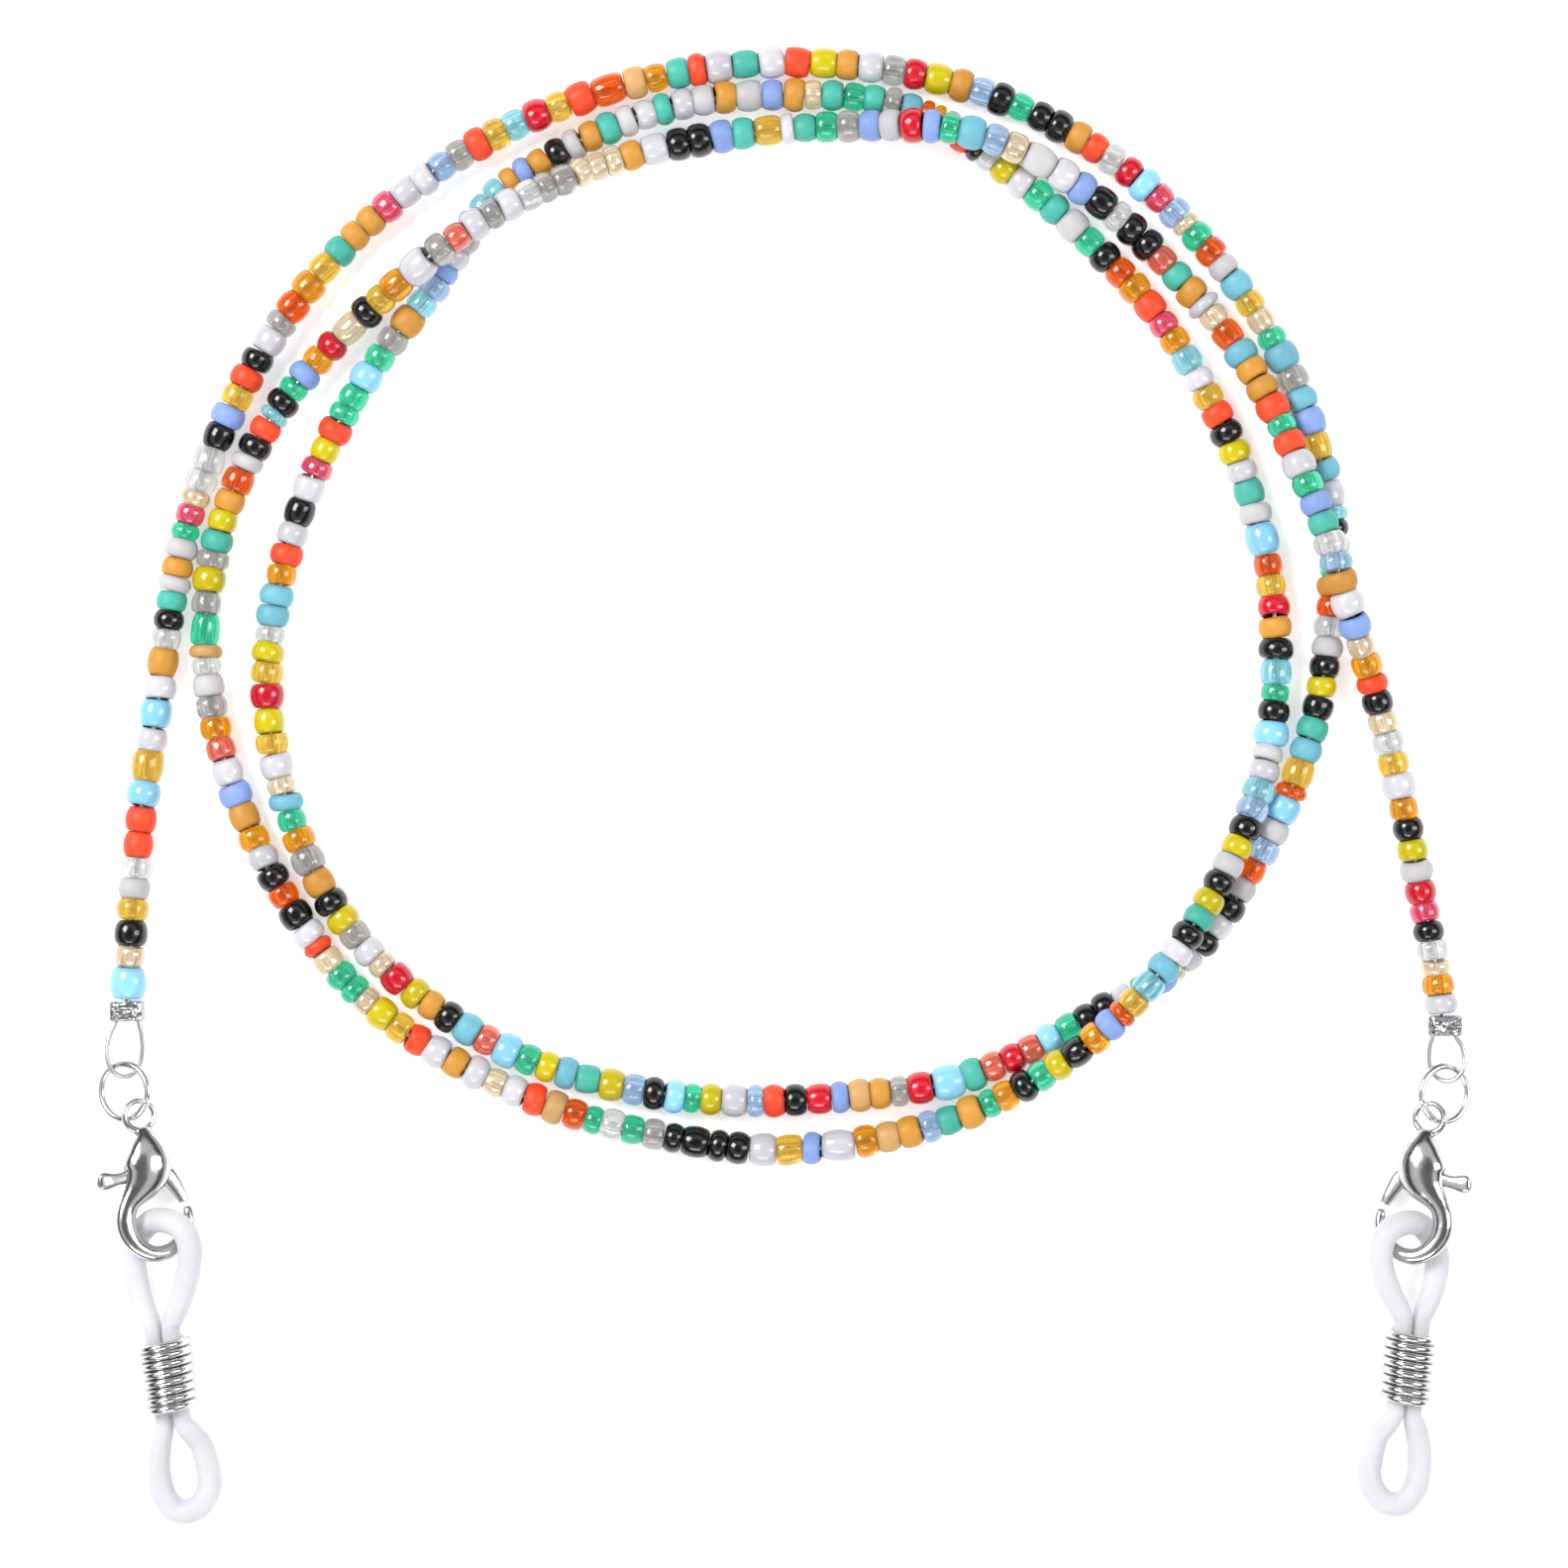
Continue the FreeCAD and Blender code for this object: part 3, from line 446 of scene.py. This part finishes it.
def ended(points, radius, steps):
    """Points and radii of a rod with domed ends."""
    points = np.asarray(points, float)
    first = unit(points[0] - points[1])
    last = unit(points[-1] - points[-2])
    head, tail, head_r, tail_r = [], [], [], []
    for k in range(1, steps + 1):
        a = math.pi / 2 * k / steps
        head.append(points[0] + first * radius * 0.8 * math.sin(a))
        tail.append(points[-1] + last * radius * 0.8 * math.sin(a))
        head_r.append(radius * max(math.cos(a), 0.02))
        tail_r.append(radius * max(math.cos(a), 0.02))
    rows = np.vstack([head[::-1], points, tail])
    radii = np.concatenate([head_r[::-1], np.full(len(points), radius), tail_r])
    return rows, radii


# ---------------------------------------------------------------- the beading wire
curve = bpy.data.curves.new("strand_wire", "CURVE")
curve.dimensions = "3D"
curve.resolution_u = 10
spline = curve.splines.new("NURBS")
spline.points.add(len(ROUTE) - 1)
for point, place in zip(spline.points, ROUTE):
    point.co = (*at(*place), 1.0)
spline.order_u = 3
spline.use_endpoint_u = True
plain = bpy.data.objects.new("strand_line", curve)
bpy.context.scene.collection.objects.link(plain)
line_mesh = bpy.data.meshes.new_from_object(plain)
line = np.array([v.co[:] for v in line_mesh.vertices])
bpy.data.objects.remove(plain)
curve.bevel_depth = THREAD / 2 * MM
curve.bevel_resolution = 3
curve.materials.append(LOOP_METAL)
strand_wire = bpy.data.objects.new("strand_wire", curve)
bpy.context.scene.collection.objects.link(strand_wire)
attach(strand_wire, "strand")
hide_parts("beading_wire")

steps = np.linalg.norm(np.diff(line, axis=0), axis=1)
run = np.concatenate([[0.0], np.cumsum(steps)])


def place_on(distance):
    """Position and direction at a distance along the wire."""
    i = int(np.clip(np.searchsorted(run, distance) - 1, 0, len(line) - 2))
    t = (distance - run[i]) / steps[i]
    lo, hi = max(i - 2, 0), min(i + 3, len(line) - 1)
    return line[i] + (line[i + 1] - line[i]) * t, unit(line[hi] - line[lo])


def nearest(target, after):
    """Distance along the wire, within 40 mm past another, where it comes nearest a point."""
    places = [after + 0.1 * MM * i for i in range(400)]
    return min(places, key=lambda s: np.linalg.norm(place_on(min(s, run[-1]))[0] - target))


# ---------------------------------------------------------------- beads
AROUND = 30
PROFILE = 16


def bead_rows(length, outer, bore, roundness):
    """A bead's closed outline as radius and height, from its bore's middle round the outside."""
    half = length / 2
    wall = (outer - bore) / 2
    middle = (outer + bore) / 4
    rows = []
    for k in range(PROFILE):
        a = 2 * math.pi * k / PROFILE - math.pi
        c, s = math.cos(a), math.sin(a)
        if c >= 0:
            r = middle + wall / 2 * c ** (2 / roundness)
        else:
            r = middle - wall / 2 * abs(c) ** 0.45
        z = math.copysign(abs(s) ** (2 / roundness), s) * half
        rows.append((r, z))
    return rows


def bead_mesh(rng, length, outer, finish):
    """One slightly uneven bead about its own z, in metres."""
    roundness = rng.uniform(1.85, 2.35) if finish in ("clear", "lustre") else rng.uniform(1.7, 2.1)
    outer = outer * rng.uniform(0.98, 1.12)
    rows = bead_rows(length, outer, rng.uniform(0.85, 1.0), roundness)
    lean = rng.uniform(-0.10, 0.10)
    oval = rng.uniform(0.0, 0.045)
    phase = rng.uniform(0, 2 * math.pi)
    three = rng.uniform(0.0, 0.015)
    cut = rng.uniform(-0.09, 0.09)
    vertices = []
    uv = []
    for j, (r, z) in enumerate(rows):
        for k in range(AROUND):
            a = 2 * math.pi * k / AROUND
            wobble = 1 + oval * math.cos(2 * (a - phase)) + three * math.cos(3 * a + phase)
            grow = 1 + lean * z / max(length, 0.1)
            height = z * (1 + cut * math.cos(a + phase * 1.7) * (r / outer))
            radius = r * wobble * grow
            vertices.append((radius * math.cos(a), radius * math.sin(a), height))
            uv.append((k / AROUND, j / PROFILE))
    faces = []
    for j in range(PROFILE):
        n = (j + 1) % PROFILE
        for k in range(AROUND):
            m = (k + 1) % AROUND
            faces.append((j * AROUND + k, j * AROUND + m, n * AROUND + m, n * AROUND + k))
    return np.array(vertices) * MM, np.array(faces), uv


kinds = {letter: (node, outer, finish) for letter, node, outer, finish, colour in KINDS}
gathered = {letter: ([], [], [], []) for letter in kinds}
lines = [(start, [(word[0], LENGTHS[word[1:]]) for word in text.split()])
         for start, text in ORDER]
marks = [0.0]
for start in [entry[0] for entry in lines] + [STRAND_END]:
    marks.append(nearest(np.array(at(*start)), marks[-1]))
rng = random.Random(27)
for (start, beads), begin, finish_at in zip(lines, marks[1:], marks[2:]):
    place = begin
    share = (finish_at - begin) / sum(size for letter, size in beads)
    for letter, size in beads:
        node, outer, finish = kinds[letter]
        step = size * share
        centre, along = place_on(place + step / 2)
        place += step
        length = step / MM * rng.uniform(0.97, 1.01)
        vertices, faces, uv = bead_mesh(rng, length, outer, finish)
        tilt = math.radians(rng.gauss(0.0, 5.0))
        tip = rng.uniform(0, 2 * math.pi)
        turn = (Vector(along).to_track_quat("Z", "Y").to_matrix()
                @ Matrix.Rotation(tip, 3, "Z") @ Matrix.Rotation(tilt, 3, "X")
                @ Matrix.Rotation(rng.uniform(0, 2 * math.pi), 3, "Z"))
        vertices = vertices @ np.array(turn).T + centre
        low = vertices[:, 2].min()
        if low < 0.00003:
            vertices[:, 2] += 0.00003 - low
        all_v, all_f, all_uv, all_tone = gathered[letter]
        base = sum(len(v) for v in all_v)
        all_v.append(vertices)
        all_f.append(faces + base)
        all_uv.extend(uv)
        all_tone.extend([rng.random()] * len(vertices))

for letter, node, outer, finish, colour in KINDS:
    all_v, all_f, all_uv, all_tone = gathered[letter]
    group = make_object(node + "_glass", np.vstack(all_v), np.vstack(all_f),
                        bead_material(node, finish, colour), "strand", all_uv)
    attribute = group.data.attributes.new("tone", "FLOAT", "POINT")
    attribute.data.foreach_set("value", np.array(all_tone, np.float32))
    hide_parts(node)


# ---------------------------------------------------------------- the two ends
# Places are in the strand's own coordinates; a third number is a height. "top" is how much
# longer than drawn the silicone's upper teardrop is, and "sign" mirrors the right end.
ENDS = [
    {"side": "left", "sign": 1, "crimp": (-50.1, -17.2), "loop_length": 5.2,
     "ring": (-50.3, -23.3, 1.25), "clasp": (-48.6, -28.7, 1.95), "top": 0.0,
     "silicone": (-46.9, -44.7, 0.0), "silicone_turn": 7.1, "seed": 3},
    {"side": "right", "sign": -1, "crimp": (49.9, -18.3), "loop_length": 4.4,
     "ring": (49.9, -23.5, 1.25), "clasp": (48.2, -28.9, 1.95), "top": -0.8,
     "silicone": (47.0, -44.1, 0.0), "silicone_turn": -5.3, "seed": 8},
]
RING_RADIUS = 2.1
RING_CUT_AT = -15.0
RING_CUT = 5.0
RING_WIRE_RADIUS = 0.29
RING_ROLL = 27.0
CLASP_ROLL = 20.0
CLASP_PITCH = 5.5
PIVOT = (0.2, -0.3)
EYE = (-0.53, 3.61)
EYE_RADIUS = 1.12
LOOP_WIRE_RADIUS = 0.19


def put(vertices, end, matrix):
    """Local millimetres to the part frame in metres, mirrored in X at the right end."""
    vertices = np.array(vertices, float)
    vertices[:, 0] *= end["sign"]
    turn = np.array(matrix.to_3x3())
    return (vertices @ turn.T + np.array(matrix.translation)) * MM


def flipped(faces, end):
    """The mirrored end's faces would be inside out, so their corners run the other way."""
    return [tuple(reversed(face)) for face in faces] if end["sign"] < 0 else faces


def shifted(place, turn=None):
    """Matrix to a place in the strand's own coordinates, in millimetres."""
    z = place[2] if len(place) > 2 else REST
    where = Matrix.Translation((place[0] + SHIFT[0], place[1] + SHIFT[1], z))
    return where @ turn if turn is not None else where


def clasp_matrix(end):
    return shifted(end["clasp"], Matrix.Rotation(math.radians(-CLASP_PITCH), 4, "X")
                   @ Matrix.Rotation(math.radians(CLASP_ROLL * end["sign"]), 4, "Y"))


def add_piece(end, part, body, material, vertices, faces, matrix):
    name = "%s_%s" % (end["side"], part)
    piece = make_object(name + "_look", put(vertices, end, matrix), flipped(faces, end), material,
                        "%s_%s" % (end["side"], body) if body != "strand" else "strand")
    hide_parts(name)
    return piece


def add_crimp(end):
    """Tube crushed flat: a rounded box with hammered faces, drawn in at both ends."""
    rng = random.Random(end["seed"])
    rows = []
    for k in range(31):
        t = k / 30
        y = 0.75 - 1.5 * t
        rim = 1.0 + 0.012 * math.cos(2 * math.pi * t * 2)
        edge = min(t, 1 - t)
        pull = 1.0 - 0.12 * max(0.0, 1 - edge / 0.07)
        rows.append((0.0, y, 0.0, 1.3 * rim * pull, 0.65 * pull))
    vertices, faces = loft(rows, 96, 5.5)
    bumps = [(rng.uniform(-1.2, 1.2), rng.uniform(-0.7, 0.7), rng.uniform(0.09, 0.26),
              rng.uniform(-0.11, 0.06)) for k in range(80)]
    for v in vertices:
        hold = min(1.0, max(0.0, (1.25 - abs(v[0])) / 0.5))
        for x, y, size, depth in bumps:
            gap = ((v[0] - x) ** 2 + (v[1] - y) ** 2) / size ** 2
            v[2] += math.copysign(hold * depth * math.exp(-gap), v[2])
    add_piece(end, "crimp_tube", "strand", CRIMP_METAL, vertices, faces,
              shifted(end["crimp"]))


def add_wire_loop(end):
    low = end["loop_length"] / 5.2
    points = [(-0.8, 0.4, 0.0), (-0.84, -0.75, 0.0), (-1.27, -1.8 * low, 0.12),
              (-1.48, -3.0 * low, 0.22), (-1.33, -4.0 * low, 0.28), (-0.85, -4.72 * low, 0.2),
              (-0.15, -4.98 * low, -0.05), (0.55, -4.68 * low, -0.28), (0.98, -3.9 * low, -0.35),
              (1.14, -2.9 * low, -0.25), (1.1, -1.8 * low, -0.1), (0.93, -0.85, 0.0),
              (0.8, 0.4, 0.0)]
    vertices, faces = rod(smooth_line(points, per=8), LOOP_WIRE_RADIUS, 14)
    add_piece(end, "wire_loop", "strand", LOOP_METAL, vertices, faces,
              shifted(end["crimp"]))


def add_ring(end):
    """Split jump ring: its sawn ends meet a little out of line."""
    points = []
    for k in range(97):
        a = math.radians(RING_CUT_AT + RING_CUT / 2 + (360.0 - RING_CUT) * k / 96)
        points.append((RING_RADIUS * math.cos(a), RING_RADIUS * math.sin(a), 0.09 * (k / 96 - 0.5)))
    rows, radii = ended(points, RING_WIRE_RADIUS, 2)
    vertices, faces = rod(rows, radii, 18)
    turn = Matrix.Rotation(math.radians(-RING_ROLL * end["sign"]), 4, "Y")
    add_piece(end, "jump_ring", "ring", RING_METAL, vertices, faces,
              shifted(end["ring"], turn))


BODY_LINE = [
    # x, y, z, half width, half height, from the eye's neck round the hook to its tip
    (-0.30, 2.75, 0.0, 0.42, 0.42), (-0.16, 2.30, 0.0, 0.72, 0.70),
    (-0.02, 1.60, 0.0, 1.26, 1.04), (0.10, 0.80, 0.0, 1.68, 1.26),
    (0.14, 0.00, 0.0, 1.88, 1.32), (0.06, -0.80, 0.0, 1.80, 1.26),
    (-0.25, -1.55, 0.0, 1.48, 1.10), (-0.72, -2.25, 0.0, 1.08, 0.88),
    (-1.15, -2.95, 0.0, 0.82, 0.70), (-1.42, -3.80, 0.0, 0.78, 0.65),
    (-1.40, -4.70, 0.0, 0.80, 0.65), (-1.05, -5.60, 0.0, 0.76, 0.65),
    (-0.35, -6.35, 0.0, 0.69, 0.65), (0.65, -6.80, 0.0, 0.64, 0.64),
    (1.70, -6.70, 0.0, 0.62, 0.62), (2.60, -6.12, 0.0, 0.60, 0.60),
    (3.18, -5.30, 0.0, 0.55, 0.58), (3.40, -4.40, 0.0, 0.49, 0.54),
    (3.34, -3.62, 0.0, 0.44, 0.48), (3.22, -3.22, 0.0, 0.32, 0.36),
]
LEVER_LINE = [
    # the thumb tab's ball, through the body, to the jaw that meets the hook's tip
    (-3.62, -1.35, -0.15, 0.30, 0.24), (-3.45, -1.36, -0.15, 0.60, 0.40),
    (-3.10, -1.36, -0.15, 0.70, 0.42), (-2.65, -1.30, -0.15, 0.60, 0.40),
    (-2.10, -1.20, -0.15, 0.48, 0.40), (-1.20, -0.95, -0.15, 0.50, 0.40),
    (-0.30, -0.55, -0.15, 0.62, 0.40), (0.45, -0.32, -0.15, 0.66, 0.40),
    (1.15, -0.46, -0.15, 0.72, 0.40), (1.80, -0.98, -0.15, 0.68, 0.40),
    (2.35, -1.70, -0.15, 0.57, 0.40), (2.78, -2.38, -0.15, 0.46, 0.40),
    (3.02, -2.84, -0.15, 0.36, 0.38),
]
# Boxes cut out of the body for the lever and its spring: ranges of x, y and z.
SLOTS = [((-2.6, -0.9), (-2.0, -0.15), (-0.62, 0.32)), ((-1.0, 1.3), (-2.0, 0.5), (-0.62, 0.32)),
         ((1.2, 3.4), (-2.0, 0.1), (-0.62, 0.32)), ((0.3, 3.6), (-3.05, -1.9), (-0.62, 0.32)),
         ((-0.5, 0.9), (-1.0, 0.4), (0.25, 0.65))]


def raw_mesh(name, vertices, faces):
    mesh = bpy.data.meshes.new(name)
    mesh.from_pydata([tuple(v) for v in vertices], [], faces)
    piece = bpy.data.objects.new(name, mesh)
    bpy.context.scene.collection.objects.link(piece)
    return piece


def apply_modifiers(piece):
    graph = bpy.context.evaluated_depsgraph_get()
    mesh = bpy.data.meshes.new_from_object(piece.evaluated_get(graph))
    vertices = np.array([v.co[:] for v in mesh.vertices])
    faces = [tuple(p.vertices) for p in mesh.polygons]
    bpy.data.objects.remove(piece)
    return vertices, faces


def clasp_shape():
    """Cast body in its own millimetres: dome, hook and eye grown together, slot cut through."""
    vertices, faces = loft(smooth_line(BODY_LINE, per=5), 36, 2.15)
    angles = [2 * math.pi * k / 48 for k in range(48)]
    eye = [(EYE[0] + EYE_RADIUS * math.cos(a), EYE[1] + EYE_RADIUS * math.sin(a), 0.0)
           for a in angles]
    thick = [0.25 + 0.06 * max(0.0, -math.sin(a)) ** 1.5 for a in angles]
    more, more_faces = rod(eye, thick, 16, closed=True)
    joined = np.vstack([vertices, more])
    all_faces = list(faces) + [tuple(i + len(vertices) for i in f) for f in more_faces]
    piece = raw_mesh("clasp_raw", joined, all_faces)
    remesh = piece.modifiers.new("grow", "REMESH")
    remesh.mode = "VOXEL"
    remesh.voxel_size = 0.1
    relax = piece.modifiers.new("relax", "SMOOTH")
    relax.factor = 0.5
    relax.iterations = 6
    cutters = []
    for across, along, up in SLOTS:
        box = [(x, y, z) for x in across for y in along for z in up]
        sides = [(0, 1, 3, 2), (4, 6, 7, 5), (0, 4, 5, 1), (2, 3, 7, 6), (0, 2, 6, 4), (1, 5, 7, 3)]
        cutter = raw_mesh("slot_cutter", box, sides)
        cut = piece.modifiers.new("slot", "BOOLEAN")
        cut.operation = "DIFFERENCE"
        cut.object = cutter
        cut.solver = "EXACT"
        cutters.append(cutter)
    vertices, faces = apply_modifiers(piece)
    for cutter in cutters:
        bpy.data.objects.remove(cutter)
    return vertices, faces


def smooth_by_angle(piece, degrees):
    mesh = piece.data
    mesh.shade_smooth()
    normals = [p.normal.copy() for p in mesh.polygons]
    sharing = {}
    for index, polygon in enumerate(mesh.polygons):
        for key in polygon.edge_keys:
            sharing.setdefault(key, []).append(index)
    limit = math.cos(math.radians(degrees))
    for edge in mesh.edges:
        pair = sharing.get(edge.key, [])
        if len(pair) == 2 and normals[pair[0]].dot(normals[pair[1]]) < limit:
            edge.use_edge_sharp = True


clasp_vertices, clasp_faces = clasp_shape()


def add_clasp(end):
    matrix = clasp_matrix(end)
    body = add_piece(end, "clasp_body", "clasp", PLATED, clasp_vertices,
                     clasp_faces, matrix)
    smooth_by_angle(body, 35)
    vertices, faces = loft(smooth_line(LEVER_LINE, per=5), 28, 3.4)
    add_piece(end, "clasp_lever", "lever", PLATED, vertices, faces, matrix)
    pin = [(PIVOT[0], PIVOT[1], z) for z in np.linspace(-0.95, 0.95, 9)]
    rows, radii = ended(pin, 0.28, 3)
    vertices, faces = rod(rows, radii, 20)
    add_piece(end, "lever_pin", "clasp", PLATED, vertices, faces, matrix)
    turns = []
    for k in range(61):
        a = 2 * math.pi * 1.6 * k / 60
        turns.append((PIVOT[0] + 0.5 * math.cos(a), PIVOT[1] + 0.5 * math.sin(a),
                      0.37 + 0.14 * k / 60))
    rows, radii = ended(turns, 0.085, 2)
    vertices, faces = rod(rows, radii, 8)
    add_piece(end, "lever_spring", "clasp", SPRING_METAL, vertices, faces, matrix)


# x, y, z, radius along the pinched loop, in the sleeve's own frame, +y to the clasp.
SILICONE_LINE = [
    (0.70, 0.00, 2.36, 0.70), (0.70, 2.40, 2.36, 0.70), (0.72, 3.55, 2.36, 0.71),
    (1.04, 4.25, 2.44, 0.80), (1.85, 5.70, 2.68, 0.88), (2.72, 7.80, 3.02, 0.92),
    (3.02, 9.60, 3.25, 0.93), (2.60, 10.95, 3.20, 0.93), (1.50, 11.62, 2.60, 0.93),
    (0.10, 11.60, 1.40, 0.93), (-1.10, 10.60, 0.98, 0.93), (-1.64, 9.00, 0.95, 0.93),
    (-1.62, 7.10, 0.98, 0.91), (-1.22, 5.10, 1.35, 0.85), (-0.90, 4.20, 1.68, 0.78),
    (-0.71, 3.50, 1.86, 0.71), (-0.70, 2.30, 1.88, 0.70), (-0.70, 0.00, 1.88, 0.70),
    (-0.70, -2.30, 1.88, 0.70), (-0.71, -3.60, 1.87, 0.70), (-0.94, -4.25, 1.64, 0.79),
    (-1.33, -5.20, 1.30, 0.87), (-1.74, -7.20, 0.98, 0.93), (-1.62, -9.00, 0.95, 0.94),
    (-0.95, -10.25, 0.95, 0.94), (0.05, -10.60, 0.95, 0.94), (1.10, -10.20, 0.95, 0.94),
    (1.90, -9.00, 0.95, 0.94), (2.02, -7.60, 1.00, 0.92), (1.72, -5.60, 1.35, 0.88),
    (1.02, -4.25, 2.08, 0.79), (0.72, -3.60, 2.34, 0.70), (0.70, -2.30, 2.36, 0.70),
]


def silicone_matrix(end):
    return shifted(end["silicone"], Matrix.Rotation(math.radians(end["silicone_turn"]), 4, "Z"))


def add_silicone(end):
    rows = []
    for x, y, z, r in SILICONE_LINE:
        longer = end["top"] * min(max((y - 4.0) / 5.0, 0.0), 1.0)
        rows.append((x, y + longer, z, r))
    fine = smooth_line(rows, per=8, closed=True)
    vertices, faces = rod(fine[:, :3], fine[:, 3], 28, closed=True)
    add_piece(end, "silicone_loop", "silicone", SILICONE, vertices, faces,
              silicone_matrix(end))


def add_sleeve(end):
    """Close-wound coil with slightly uneven turns, and the wire's ends are cut."""
    rng = random.Random(end["seed"] + 20)
    turns, pitch, radius, wire_radius = 8.0, 0.67, 1.79, 0.31
    loose = [rng.uniform(-0.03, 0.03) for k in range(10)]
    points = []
    count = int(turns * 40)
    for k in range(count + 1):
        t = k / count
        a = 2 * math.pi * turns * t - 1.9
        spread = radius + 0.05 * math.sin(2 * math.pi * t) + loose[int(t * 8)] * 0.5
        y = (0.5 - t) * pitch * turns + 0.04 * math.sin(a + 0.4)
        points.append((spread * math.cos(a), y, 2.12 + spread * math.sin(a)))
    rows, radii = ended(points, wire_radius, 2)
    vertices, faces = rod(rows, radii, 14)
    low = vertices[:, 2].min()
    vertices[:, 2] += max(0.0, 0.02 - low)
    add_piece(end, "coil_sleeve", "sleeve", COIL_METAL, vertices, faces,
              silicone_matrix(end))


for end in ENDS:
    add_crimp(end)
    add_wire_loop(end)
    add_ring(end)
    add_clasp(end)
    add_silicone(end)
    add_sleeve(end)


# ---------------------------------------------------------------- table and light
def add_floor():
    material, tree, shader = new_material("table")
    cloud = noise(tree, 25.0, 3.0, 0.5)
    tree.links.new(mix_colours(tree, remap(tree, cloud, 0.0, 1.0), (0.80, 0.80, 0.80),
                               (0.79, 0.79, 0.795)), shader.inputs["Base Color"])
    shader.inputs["Roughness"].default_value = 0.7
    shader.inputs["Specular IOR Level"].default_value = 0.1
    shader.inputs["Emission Color"].default_value = (1.0, 1.0, 1.0, 1.0)
    shader.inputs["Emission Strength"].default_value = 0.5
    side = 0.8
    corners = [(-side, -side, 0.0), (side, -side, 0.0), (side, side, 0.0), (-side, side, 0.0)]
    floor = make_object("table", corners, [(0, 1, 2, 3)], material, smooth=False)


def add_light(name, place, aim, size, power):
    data = bpy.data.lights.new(name, "AREA")
    data.shape = "RECTANGLE"
    data.size, data.size_y = size
    data.energy = power
    lamp = bpy.data.objects.new(name, data)
    bpy.context.scene.collection.objects.link(lamp)
    lamp.location = place
    lamp.rotation_mode = "QUATERNION"
    lamp.rotation_quaternion = (Vector(aim) - Vector(place)).to_track_quat("-Z", "Y")


def add_world():
    """Studio tent: bright band overhead, darker rings round it that shape the metal."""
    world = bpy.data.worlds.new("studio")
    bpy.context.scene.world = world
    world.use_nodes = True
    tree = world.node_tree
    place = tree.nodes.new("ShaderNodeTexCoord")
    split = tree.nodes.new("ShaderNodeSeparateXYZ")
    ramp = tree.nodes.new("ShaderNodeValToRGB")
    tree.links.new(place.outputs["Generated"], split.inputs["Vector"])
    tree.links.new(split.outputs["Z"], ramp.inputs["Fac"])
    tree.links.new(ramp.outputs["Color"], tree.nodes["Background"].inputs["Color"])
    tree.nodes["Background"].inputs["Strength"].default_value = 0.78
    stops = [(0.0, 1.0), (0.16, 0.85), (0.28, 0.10), (0.52, 0.14), (0.66, 1.0), (0.86, 1.0),
             (0.93, 0.30), (1.0, 0.22)]
    while len(ramp.color_ramp.elements) < len(stops):
        ramp.color_ramp.elements.new(0.5)
    for element, (height, level) in zip(ramp.color_ramp.elements, stops):
        element.position = height
        element.color = (level, level, level, 1.0)


add_floor()
add_world()
centre = (0.0, 0.036, 0.0)
add_light("softbox_left", (-0.30, 0.24, 0.42), centre, (0.24, 0.24), 2.7)
add_light("softbox_right", (0.36, 0.06, 0.34), centre, (0.16, 0.30), 0.9)
add_light("softbox_low", (-0.05, -0.40, 0.36), centre, (0.40, 0.16), 0.9)
bpy.context.scene.view_settings.view_transform = "Standard"
